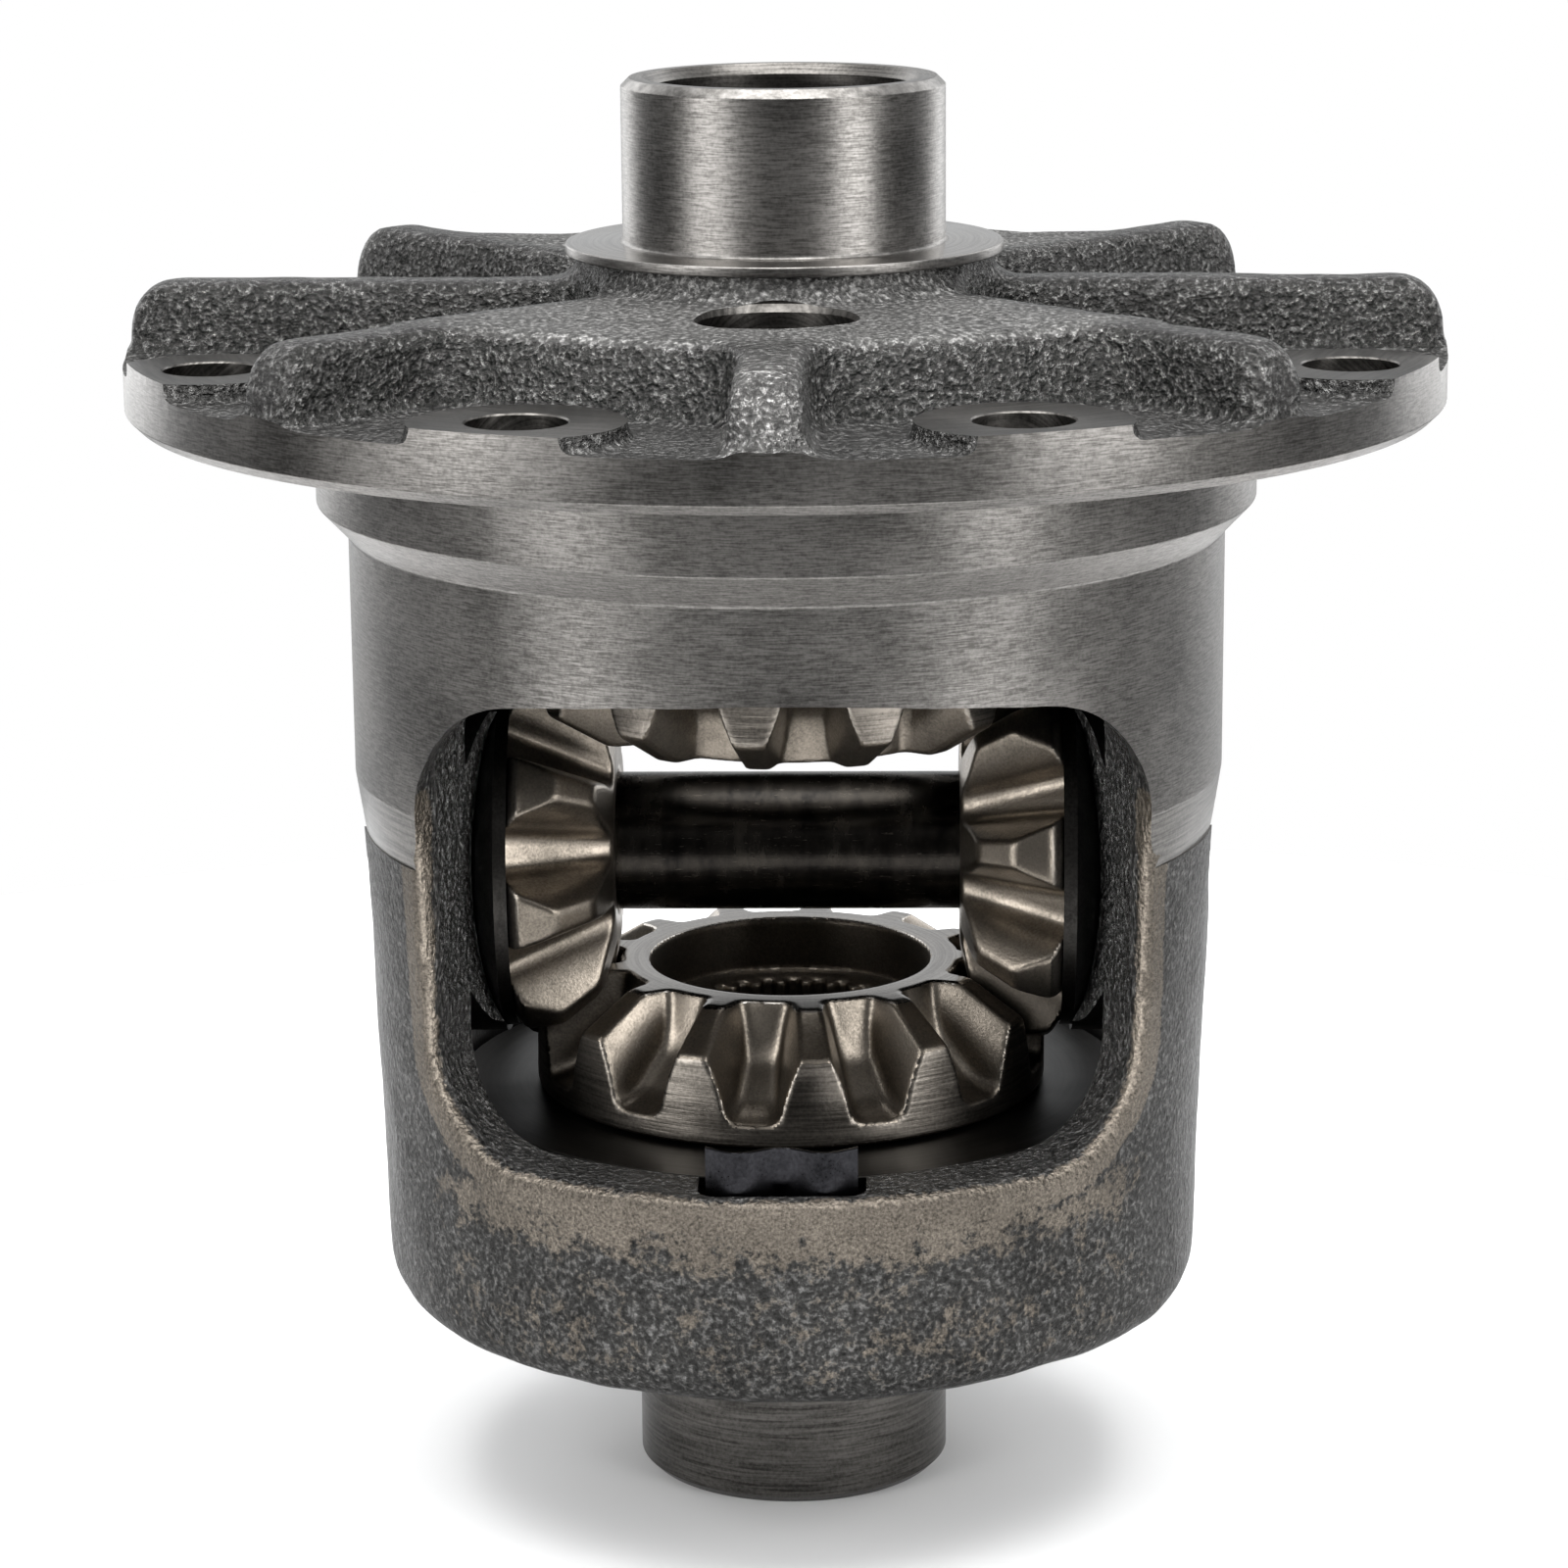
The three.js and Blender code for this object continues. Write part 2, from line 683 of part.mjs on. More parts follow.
function crossShaftSolid() {
  const end = SHAFT_HALF - SHAFT_CHAMFER;
  const rod = turned(
    [
      [0, -SHAFT_HALF],
      [SHAFT_R - SHAFT_CHAMFER, -SHAFT_HALF],
      [SHAFT_R, -end],
      [SHAFT_R, end],
      [SHAFT_R - SHAFT_CHAMFER, SHAFT_HALF],
      [0, SHAFT_HALF],
    ],
    32,
  );
  const hole = cylinder(LOCK_PIN_R + LOCK_HOLE_CLEARANCE, -SHAFT_R - 1, SHAFT_R + 1, 16);
  return rod
    .rotate([0, 90, 0])
    .subtract(hole.rotate([90, 0, 0]).translate([LOCK_PIN_X, 0, 0]));
}

function lockPinSolid() {
  const chamfer = 0.5;
  return turned(
    [
      [0, LOCK_PIN_TO_Y],
      [LOCK_PIN_R - chamfer, LOCK_PIN_TO_Y],
      [LOCK_PIN_R, LOCK_PIN_TO_Y + chamfer],
      [LOCK_PIN_R, LOCK_PIN_FROM_Y - chamfer],
      [LOCK_PIN_R - chamfer, LOCK_PIN_FROM_Y],
      [0, LOCK_PIN_FROM_Y],
    ],
    16,
  )
    .rotate([-90, 0, 0])
    .translate([LOCK_PIN_X, 0, 0]);
}

function washerSolid() {
  const rims = [WASHER_HOLE_R, 17.5, WASHER_RIM_R];
  const near = rims.map((r) => [r, Math.sqrt(WASHER_INNER_R ** 2 - r ** 2)]);
  const far = rims.map((r) => [r, Math.sqrt(WASHER_OUTER_R ** 2 - r ** 2)]).reverse();
  return turned([...near, ...far, near[0]], 28);
}

// ---- assembly ----
const group = new THREE.Group();
group.name = "differential";

// Adds a solid modelled about the point where the gear axes cross.
function place(name, solid, material, turn = [0, 0, 0]) {
  const moved = solid.rotate(turn).translate([0, 0, AXIS_Z]);
  const mesh = new THREE.Mesh(geometryOf(moved), material);
  mesh.name = name;
  group.add(mesh);
}

const caseMesh = new THREE.Mesh(geometryOf(caseSolid()), CAST_IRON);
caseMesh.name = "case";
group.add(caseMesh);

place("cross_shaft", crossShaftSolid(), SHAFT_STEEL);
place("shaft_lock_pin", lockPinSolid(), SPRING_STEEL);

// A pinion space faces the tooth of the side gear it meets at rest.
const pinion = pinionSolid(0);
place("pinion_right", pinion, GEAR_STEEL, [0, 90, 0]);
place("pinion_left", pinion, GEAR_STEEL, [0, -90, 0]);
place("pinion_washer_right", washerSolid(), PLATE_STEEL, [0, 90, 0]);
place("pinion_washer_left", washerSolid(), PLATE_STEEL, [0, -90, 0]);

place("side_gear_upper", sideGearSolid(0), GEAR_STEEL);
place("side_gear_lower", sideGearSolid(Math.PI / SIDE_TEETH), GEAR_STEEL, [180, 0, 0]);

const SIDES = [
  { name: "upper", turn: [0, 0, 0], guideStart: GUIDE_UPPER_START },
  { name: "lower", turn: [180, 0, 0], guideStart: GUIDE_LOWER_START },
];
SIDES.forEach(({ name, turn, guideStart }) => {
  let at = PACK_START;
  for (let i = 1; i <= STEEL_COUNT; i += 1) {
    place(`steel_plate_${name}_${i}`, steelPlate(at), PLATE_STEEL, turn);
    at += STEEL_THICKNESS + PACK_GAP;
    if (i <= DISC_COUNT) {
      place(`friction_disc_${name}_${i}`, frictionDisc(at), FRICTION, turn);
      at += DISC_THICKNESS + PACK_GAP;
    }
  }
  place(`dished_spring_${name}`, dishedSpring(at), SPRING_STEEL, turn);
  const guide = earGuide(guideStart);
  place(`ear_guide_${name}_back`, guide, SPRING_STEEL, turn);
  place(`ear_guide_${name}_front`, guide.rotate([0, 0, 180]), SPRING_STEEL, turn);
});

export default group;
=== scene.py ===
"""The looks of the differential: detailed pieces, procedural metals, a pale floor and soft light.

Lengths are in millimetres in the builders below and become metres when a mesh is made.
+Z is the axle line, z = 0 the end of the lower journal, and the cross shaft lies along X.
"""

import json
import math

import bpy
import numpy as np
import openvdb
from mathutils import Euler, Matrix, Vector

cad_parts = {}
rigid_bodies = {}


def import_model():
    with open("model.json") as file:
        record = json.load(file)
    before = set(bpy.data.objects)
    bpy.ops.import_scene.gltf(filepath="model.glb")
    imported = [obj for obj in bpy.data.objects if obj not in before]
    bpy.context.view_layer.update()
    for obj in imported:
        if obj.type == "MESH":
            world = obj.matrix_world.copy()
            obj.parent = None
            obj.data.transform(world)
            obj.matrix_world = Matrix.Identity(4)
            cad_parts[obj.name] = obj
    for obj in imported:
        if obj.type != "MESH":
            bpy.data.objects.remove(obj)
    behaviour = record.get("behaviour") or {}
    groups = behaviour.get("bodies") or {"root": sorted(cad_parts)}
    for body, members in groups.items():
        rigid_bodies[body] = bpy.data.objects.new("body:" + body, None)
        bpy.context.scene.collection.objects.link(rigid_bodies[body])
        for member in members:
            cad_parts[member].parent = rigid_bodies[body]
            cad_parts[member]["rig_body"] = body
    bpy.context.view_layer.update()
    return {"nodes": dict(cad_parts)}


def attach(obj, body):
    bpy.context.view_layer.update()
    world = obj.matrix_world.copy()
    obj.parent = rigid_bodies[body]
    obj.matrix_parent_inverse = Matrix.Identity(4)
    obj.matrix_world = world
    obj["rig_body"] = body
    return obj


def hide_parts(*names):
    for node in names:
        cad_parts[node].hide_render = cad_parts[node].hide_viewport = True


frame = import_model()

MM = 0.001
DEG = math.pi / 180
FLIP = Matrix.Rotation(math.pi, 4, "X")

# ---- driving dimensions, the same as the CAD part's ----
AXIS_Z = 85.3
CASE_HEIGHT = 185.4
JOURNAL_R = 20.65
JOURNAL_LENGTH = 20.8
JOURNAL_CHAMFER = 1.1
AXLE_BORE_R = 16.7
SHOULDER_R = 28.0
BODY_BOTTOM_Z = 25.7
BODY_R = 56.64
PILOT_R = 60.6
FLANGE_R = 84.4
FLANGE_FACE_Z = 144.1
FLANGE_TOP_Z = 150.5
PLATEAU_Z = 160.0
PLATEAU_R = 57.6
RIB_COUNT = 8
RIB_HALF = 4.2
RIB_END_R = 83.9
BOLT_CIRCLE_R = 75.5
BOLT_HOLE_R = 5.95
BOSS_R = 12.6
BOSS_TOP_Z = 152.6
ACCESS_HOLE_R = 9.5
ACCESS_HOLE_Y = -38.5
CAVITY_R = 45.4
CAVITY_REACH = 47.8
WINDOW_LOW_Z = 53.5
WINDOW_HIGH_Z = 115.6
WINDOW_INNER_Y = 22.0
WINDOW_INNER_HALF = 41.3
WINDOW_FLARE = 0.4
EAR_SLOT_HALF = 10.4
EAR_SLOT_REACH = 51.9
EAR_SLOT_START = 30.0
SEAT_R = 44.6
SEAT_PAD_R = 25.0
SEAT_PAD_INNER = 34.0
SHAFT_R = 9.05
SHAFT_HALF = 54.4
SHAFT_HOLE_R = 9.35
LOCK_PIN_X = 50.4
LOCK_PIN_R = 2.4
LOCK_HOLE_R = LOCK_PIN_R + 0.3
LOCK_PIN_FROM_Y = 22.6
LOCK_PIN_TO_Y = -10.5
SIDE_TEETH = 13
PINION_TEETH = 9
PRESSURE_ANGLE = 24 * DEG
SIDE_TOE = 15.7
SIDE_OUTER_R = 33.7
SIDE_BACK = 31.8
SIDE_BORE_R = 18.57
SIDE_HUB_END = 46.8
PINION_TOE = 22.4
PINION_TOE_RING_R = 13.5
PINION_TOOTH_TOE = 24.3
PINION_OUTER_R = 25.8
PINION_BACK_R = 42.7
PINION_BORE_R = 9.35
WASHER_INNER_R = 42.95
WASHER_OUTER_R = 44.35
PACK_START = 32.1
PACK_GAP = 0.16
STEEL_THICKNESS = 1.35
STEEL_OUTER_R = 44.4
STEEL_INNER_R = 28.3
EAR_HALF = 7.0
EAR_REACH = 47.4
DISC_THICKNESS = 1.6
DISC_OUTER_R = 43.0

SIDE_TIP_ANGLE = 59.0 * DEG
SIDE_ROOT_ANGLE = 47.2 * DEG
SIDE_TOOTH_SHARE = 0.4
PINION_TIP_ANGLE = 41.6 * DEG
PINION_ROOT_ANGLE = 30.1 * DEG
PINION_TOOTH_SHARE = 0.54
SIDE_WALL_TOP_R = 22.4
SIDE_WALL_SLOPE = 0.27
SIDE_FLOOR_R = 30.2
SIDE_FLOOR_Z = 27.97
AXLE_SPLINE_COUNT = 28
HUB_SPLINE_COUNT = 14
WASHER_HOLE_R = 9.8
WASHER_RIM_R = 24.3
DISC_SPLINE_ROOT_R = 26.35
DISC_SPLINE_TIP_R = 27.35
SPRING_INNER_R = 30.0
SPRING_OUTER_R = 43.0
SPRING_RISE = 0.9
SPRING_THICKNESS = 1.2
GUIDE_HALF = 9.4
GUIDE_THICKNESS = 0.8
GUIDE_MID_Y = 48.9
GUIDE_WAVE = 2.1
GUIDE_LEAST_Y = 47.2
GUIDE_END = 45.0
GUIDE_UPPER_START = 31.0
GUIDE_LOWER_START = 26.4
STEEL_COUNT = 4

# ---- shapes only the casting shows ----
BARREL_HEIGHTS = [22, 30, 84, 91, 97, 128, 133, 170]
BARREL_RADII = [53.2, 53.6, 55.4, 55.75, 58.6, 58.6, 63, 63]
HUB_TOP_R = 26.3
HUB_TOP_Z = 164.0
DISC_RIM = 1.3  # thickness of the upper thrust disc's rim
WINDOW_DRAFT = 3.0  # how much the windows narrow towards their lower corners
WINDOW_ARCH = 0.0022  # sag of their top edge with the distance from the middle, squared
LOW_CORNER_R = 12.5
HIGH_CORNER_R = 8.5

# The case's finishes, by their place in its list of materials, after the cast skin at 0; the bored one
# is also painted shade on the taper ring and the lower journal, and the inside one is painted shade.
TURNED_SLOT, BORED_AND_SHADE_SLOT, SHADED_INSIDE_SLOT, DISC_SLOT = range(1, 5)

FLOOR_R = 330.0
CAMERA_TURN = 1.5 * DEG
CAMERA_TILT = 13.8 * DEG
CAMERA_YAW = 0.00106
CAMERA_ROLL = -0.0086
CAMERA_PLACE = (0, -0.5908, 0.2380)
TURN_SEGMENTS = 192


# ---- mesh helpers ----
def new_object(name, vertices, faces, slots=None, face_slots=None):
    mesh = bpy.data.meshes.new(name)
    mesh.from_pydata(np.asarray(vertices, float).reshape(-1, 3) * MM, [], faces)
    for material in slots or []:
        mesh.materials.append(material)
    if face_slots is not None:
        mesh.polygons.foreach_set("material_index", np.asarray(face_slots, np.int32))
    mesh.update()
    obj = bpy.data.objects.new(name, mesh)
    bpy.context.scene.collection.objects.link(obj)
    return obj


def outward(vertices, faces):
    """The faces, turned round if the closed mesh they make is inside out."""
    points = np.asarray(vertices, float)
    volume = 0.0
    for face in faces:
        a = points[face[0]]
        for i in range(1, len(face) - 1):
            volume += np.dot(a, np.cross(points[face[i]], points[face[i + 1]]))
    return faces if volume > 0 else [tuple(reversed(face)) for face in faces]


def rounded(points, closed=False, steps=4):
    """A profile of (radius, height) or (radius, height, corner radius), with its corners rounded."""
    out = []
    count = len(points)
    for i, point in enumerate(points):
        corner = point[2] if len(point) > 2 else 0
        here = np.array(point[:2], float)
        if not corner or (not closed and i in (0, count - 1)):
            out.append(tuple(here))
            continue
        before = np.array(points[i - 1][:2], float) - here
        after = np.array(points[(i + 1) % count][:2], float) - here
        lengths = [np.linalg.norm(before), np.linalg.norm(after)]
        before, after = before / lengths[0], after / lengths[1]
        angle = math.acos(float(np.clip(before @ after, -1, 1)))
        reach = min(corner / math.tan(angle / 2), 0.48 * min(lengths))
        for step in range(steps + 1):
            t = step / steps
            start = (1 - t) ** 2 * (here + before * reach)
            out.append(tuple(start + 2 * t * (1 - t) * here + t * t * (here + after * reach)))
    return out


def lathe(name, profile, segments=None, slots=None, slot=0, closed=False):
    """Turns a profile about Z. An open profile starts and ends on the axis."""
    segments = segments or TURN_SEGMENTS
    angles = np.arange(segments) * 2 * math.pi / segments
    vertices, rings = [], []
    for radius, height in profile:
        if radius < 1e-6:
            rings.append([len(vertices)] * segments)
            vertices.append((0, 0, height))
        else:
            start = len(vertices)
            rings.append([start + i for i in range(segments)])
            vertices += [(radius * math.cos(a), radius * math.sin(a), height) for a in angles]
    faces = []
    pairs = list(zip(rings, rings[1:] + rings[:1] if closed else rings[1:]))
    for low, high in pairs:
        for i in range(segments):
            j = (i + 1) % segments
            face = [low[i], low[j], high[j], high[i]]
            unique = list(dict.fromkeys(face))
            if len(unique) > 2:
                faces.append(tuple(unique))
    faces = outward(vertices, faces)
    return new_object(name, vertices, faces, slots, [slot] * len(faces))


def prism(name, outline, low, high, slots=None, slot=0, bevel=0.0):
    """Pulls a flat outline up from low to high, with a small bevel on its two rims."""
    points = np.asarray(outline, float)
    if bevel:
        ahead = np.roll(points, -1, 0) - points
        behind = points - np.roll(points, 1, 0)
        normal = ahead / np.linalg.norm(ahead, axis=1)[:, None]
        normal = normal + behind / np.linalg.norm(behind, axis=1)[:, None]
        normal = normal / np.linalg.norm(normal, axis=1)[:, None]
        next_x, next_y = np.roll(points, -1, 0).T
        area = np.sum(points[:, 0] * next_y - points[:, 1] * next_x)
        inward = np.stack([-normal[:, 1], normal[:, 0]], 1) * np.sign(area)
        levels = [(low, bevel), (low + bevel, 0), (high - bevel, 0), (high, bevel)]
        layers = [(z, points + inward * amount) for z, amount in levels]
    else:
        layers = [(low, points), (high, points)]
    count = len(points)
    vertices = [(x, y, z) for z, layer in layers for x, y in layer]
    faces = []
    for k in range(len(layers) - 1):
        for i in range(count):
            j = (i + 1) % count
            faces.append((k * count + i, k * count + j, (k + 1) * count + j, (k + 1) * count + i))
    faces.append(tuple(range(count))[::-1])
    faces.append(tuple(range((len(layers) - 1) * count, len(layers) * count)))
    faces = outward(vertices, faces)
    return new_object(name, vertices, faces, slots, [slot] * len(faces))


def moved(obj, matrix):
    obj.data.transform(matrix)
    return obj


def shift(x=0, y=0, z=0):
    return Matrix.Translation((x * MM, y * MM, z * MM))


def rod(name, radius, low, high, chamfer=0.0, slots=None, slot=0, segments=48):
    """A cylinder on Z; a chamfer above 0 breaks both of its rims."""
    return lathe(
        name,
        [
            (0, low),
            (radius - chamfer, low),
            (radius, low + chamfer),
            (radius, high - chamfer),
            (radius - chamfer, high),
            (0, high),
        ]
        if chamfer
        else [(0, low), (radius, low), (radius, high), (0, high)],
        segments,
        slots,
        slot,
    )


def combine(target, tool, operation):
    """Joins, cuts or trims target by tool, which is used up."""
    modifier = target.modifiers.new("combine", "BOOLEAN")
    modifier.operation = operation
    modifier.object = tool
    modifier.solver = "MANIFOLD"
    bpy.context.view_layer.update()
    shaped = target.evaluated_get(bpy.context.evaluated_depsgraph_get())
    mesh = bpy.data.meshes.new_from_object(shaped)
    target.modifiers.clear()
    old = [target.data, tool.data]
    target.data = mesh
    bpy.data.objects.remove(tool)
    for data in old:
        bpy.data.meshes.remove(data)
    return target


def smooth(obj, angle=30):
    """Smooth shading, creased at steep edges and where the finish changes."""
    mesh = obj.data
    mesh.polygons.foreach_set("use_smooth", np.ones(len(mesh.polygons), bool))
    mesh.set_sharp_from_angle(angle=angle * DEG)
    if len(mesh.materials) > 1:
        slots = np.zeros(len(mesh.polygons), np.int32)
        mesh.polygons.foreach_get("material_index", slots)
        sizes = np.zeros(len(mesh.polygons), np.int32)
        mesh.polygons.foreach_get("loop_total", sizes)
        edges = np.zeros(len(mesh.loops), np.int32)
        mesh.loops.foreach_get("edge_index", edges)
        per_loop = np.repeat(slots, sizes)
        least = np.full(len(mesh.edges), 99)
        most = np.full(len(mesh.edges), -1)
        np.minimum.at(least, edges, per_loop)
        np.maximum.at(most, edges, per_loop)
        sharp = np.zeros(len(mesh.edges), bool)
        mesh.attributes["sharp_edge"].data.foreach_get("value", sharp)
        mesh.attributes["sharp_edge"].data.foreach_set("value", sharp | (most > least))
    mesh.update()
    return obj


# ---- distance fields: negative inside, millimetres ----
def soft_min(a, b, k):
    h = np.clip(0.5 + 0.5 * (b - a) / k, 0, 1)
    return b + (a - b) * h - k * h * (1 - h)


def soft_max(a, b, k):
    return -soft_min(-a, -b, k)


def field_axes(low, high, step):
    spans = [np.arange(a, b + step, step, dtype=np.float32) for a, b in zip(low, high)]
    return np.meshgrid(*spans, indexing="ij", sparse=True)


def field_object(name, distance, low, step, slots=None):
    """The closed surface where a sampled distance is zero."""
    reach = 2.5 * step
    grid = openvdb.FloatGrid(reach)
    grid.copyFromArray(np.ascontiguousarray(np.clip(distance, -reach, reach), np.float32))
    points, _, quads = grid.convertToPolygons(0.0, 0.0)
    points = points * step + np.array(low)
    quads = quads.astype(np.int64)
    a, b, c, d = (points[quads[:, i]] for i in range(4))
    volume = np.einsum("ij,ij->i", a, np.cross(b, c) + np.cross(c, d)).sum()
    if volume < 0:
        quads = quads[:, ::-1]
    return new_object(name, points, quads, slots)


def lumps(axes, spacing, seed):
    """A smooth random field over the grid, about -1 to 1, with bumps of that spacing."""
    weights = []
    for axis in axes:
        line = axis.ravel()
        count = int((line[-1] - line[0]) / spacing) + 4
        offset = np.abs((line - line[0])[:, None] / spacing + 1 - np.arange(count)[None, :])
        near = 2 / 3 - offset**2 + offset**3 / 2
        far = np.clip(2 - offset, 0, None) ** 3 / 6
        weights.append(np.where(offset < 1, near, far).astype(np.float32))
    rng = np.random.default_rng(seed)
    values = rng.uniform(-1.8, 1.8, [w.shape[1] for w in weights]).astype(np.float32)
    values = np.tensordot(weights[0], values, (1, 0))
    values = np.tensordot(values, weights[1], (1, 1)).transpose(0, 2, 1)
    return np.tensordot(values, weights[2], (2, 1))


# ---- node helpers ----
class Look:
    """A procedural material being built."""

    def __init__(self, name):
        self.material = bpy.data.materials.new(name)
        self.material.use_nodes = True
        self.tree = self.material.node_tree
        self.tree.nodes.clear()

    def node(self, kind, inputs=None, **settings):
        made = self.tree.nodes.new("ShaderNode" + kind)
        for key, value in settings.items():
            setattr(made, key, value)
        for key, value in (inputs or {}).items():
            if isinstance(value, bpy.types.NodeSocket):
                self.tree.links.new(value, made.inputs[key])
            else:
                made.inputs[key].default_value = value
        return made

    def math(self, operation, *values):
        made = self.node("Math", dict(enumerate(values)), operation=operation)
        return made.outputs[0]

    def vector(self, x, y, z):
        return self.node("CombineXYZ", {0: x, 1: y, 2: z}).outputs[0]

    def noise(self, vector, scale, detail=2.0, roughness=0.5):
        inputs = {"Vector": vector, "Scale": scale, "Detail": detail, "Roughness": roughness}
        return self.node("TexNoise", inputs).outputs["Fac"]

    def ramp(self, value, stops):
        made = self.node("ValToRGB", {0: value})
        elements = made.color_ramp.elements
        while len(elements) < len(stops):
            elements.new(0.5)
        for element, (place, color) in zip(elements, stops):
            element.position = place
            shade = color if isinstance(color, tuple) else (color,) * 3
            element.color = (*shade, 1)
        return made.outputs["Color"]

    def spread(self, value, low, high, to_low=0.0, to_high=1.0):
        inputs = {0: value, 1: low, 2: high, 3: to_low, 4: to_high}
        return self.node("MapRange", inputs, interpolation_type="SMOOTHSTEP").outputs[0]

    def mix(self, share, a, b):
        return self.node("Mix", {0: share, 6: a, 7: b}, data_type="RGBA").outputs[2]

    def places(self, axis="Z"):
        """A point in millimetres, its x, y and z about an axis, and its distance from that axis."""
        point = self.node("TexCoord").outputs["Object"]
        scaled = self.node("VectorMath", {0: point, 3: 1000.0}, operation="SCALE").outputs[0]
        x, y, z = self.node("SeparateXYZ", {0: scaled}).outputs
        if axis == "X":
            x, y, z = self.math("SUBTRACT", z, AXIS_Z), y, x
        squares = self.math("ADD", self.math("MULTIPLY", x, x), self.math("MULTIPLY", y, y))
        return scaled, x, y, z, self.math("SQRT", squares)

    def attribute(self, name):
        made = self.node("Attribute", attribute_name=name, attribute_type="GEOMETRY")
        return made.outputs["Fac"]

    def sway(self, noise, amount, base):
        """The base value, moved up and down by a noise around its middle."""
        return self.math("MULTIPLY_ADD", self.math("SUBTRACT", noise, 0.5), amount, base)

    def grooves(self, axis="Z", pitch=0.3, length=4.0):
        """Fine broken rings left by a lathe tool, from 0 to 1."""
        _, x, y, z, radius = self.places(axis)
        along = self.math("MULTIPLY", self.math("MULTIPLY_ADD", radius, 0.83, z), 1 / pitch)
        flow = self.vector(self.math("DIVIDE", x, length), self.math("DIVIDE", y, length), along)
        return self.noise(flow, 1.0, 2.0, 0.6)

    def bump(self, height, distance, strength=1.0, normal=None):
        inputs = {"Height": height, "Distance": distance * MM, "Strength": strength}
        if normal is not None:
            inputs["Normal"] = normal
        return self.node("Bump", inputs).outputs[0]

    def finish(self, color, roughness, metallic=1.0, normal=None, **more):
        inputs = {"Base Color": color, "Roughness": roughness, "Metallic": metallic}
        if normal is not None:
            inputs["Normal"] = normal
        shader = self.node("BsdfPrincipled", {**inputs, **more})
        self.node("OutputMaterial", {0: shader.outputs[0]})
        return self.material


def turned_look(name, dark, light, rough=0.36, axis="Z", pitch=0.2, length=2.4, depth=0.01):
    """Metal off a lathe: fine rings, specks and soft clouds."""
    look = Look(name)
    rings = look.grooves(axis, pitch, length)
    point = look.places(axis)[0]
    speck = look.noise(point, 2.2, 3.0, 0.6)
    cloud = look.noise(point, 0.06, 3.0)
    grain = look.sway(speck, 0.55, rings)
    grain = look.sway(cloud, 0.35, grain)
    color = look.ramp(grain, [(0.3, dark), (0.7, light)])
    roughness = look.spread(cloud, 0.3, 0.7, rough - 0.04, rough + 0.05)
    return look.finish(color, roughness, normal=look.bump(grain, depth))


def cast_look(name):
    """As-cast iron: dark and grainy, with painted glints and painted shade in its grain, browner
    ground patches where the mesh says so, and painted light and shade from the mesh.
    """
    look = Look(name)
    point = look.places()[0]
    grain = look.noise(point, 1.4, 4.0, 0.6)
    coarse = look.noise(point, 0.6, 2.0)
    fine = look.noise(point, 4.2, 2.0, 0.6)
    cloud = look.noise(point, 0.09, 3.0, 0.6)
    height = look.math("MULTIPLY_ADD", coarse, 0.8, grain)
    # The grain ramp follows the bump height: its dark stop is painted shade in the hollows and its
    # bright stop a painted glint on the lumps, over the real grain of the skin.
    painted_hollow_shade, skin, glint = (0.022, 0.0216, 0.021), (0.06, 0.059, 0.057), (0.25, 0.246, 0.24)
    cast_color = look.ramp(grain, [(0.3, painted_hollow_shade), (0.51, skin), (0.72, glint)])
    smooth_skin = look.attribute("smooth_cast")
    broken = look.sway(look.noise(point, 0.28, 5.0, 0.68), 1.5, look.attribute("ground"))
    pitted = look.sway(grain, 0.9, broken)
    share = look.spread(pitted, 0.36, 0.6)
    scratch = look.noise(point, 2.6, 4.0, 0.7)
    ground_color = look.ramp(scratch, [(0.3, (0.05, 0.043, 0.036)), (0.68, (0.26, 0.228, 0.19))])
    color = look.mix(share, cast_color, ground_color)
    # A light and shade factor from the mesh, painted into the colour, times a real random cloud of
    # tone.
    shade = look.math("MULTIPLY", look.attribute("painted_light_shade"), look.spread(cloud, 0.3, 0.7, 0.82, 1.12))
    layers = {0: 1.0, 6: color, 7: look.vector(shade, shade, shade)}
    color = look.node("Mix", layers, data_type="RGBA", blend_type="MULTIPLY").outputs[2]
    roughness = look.spread(smooth_skin, 0.2, 1.0, 0.24, 0.5)
    ground_calm = look.math("MULTIPLY", share, 0.6)
    calm = look.math("MAXIMUM", ground_calm, look.math("MULTIPLY", smooth_skin, 0.75))
    strength = look.spread(calm, 0.0, 1.0, 1.0, 0.28)
    inputs = {"Height": height, "Distance": 1.05 * MM, "Strength": strength}
    normal = look.node("Bump", inputs).outputs[0]
    normal = look.bump(fine, 0.09, 0.8, normal)
    edge_tint = (0.55, 0.55, 0.55, 1)
    return look.finish(color, roughness, 0.9, normal, **{"Specular Tint": edge_tint})


def satin_look(name, dark, light, rough, grain_scale=3.0, depth=0.03, metallic=1.0, **more):
    """Forged or coated steel with a fine speckle and soft clouds."""
    look = Look(name)
    point = look.places()[0]
    speck = look.noise(point, grain_scale, 3.0, 0.65)
    cloud = look.noise(point, 0.14, 4.0, 0.6)
    mixed = look.sway(speck, 0.8, cloud)
    color = look.ramp(mixed, [(0.25, dark), (0.75, light)])
    roughness = look.spread(mixed, 0.2, 0.8, rough + 0.07, rough - 0.06)
    return look.finish(color, roughness, metallic, look.bump(speck, depth), **more)


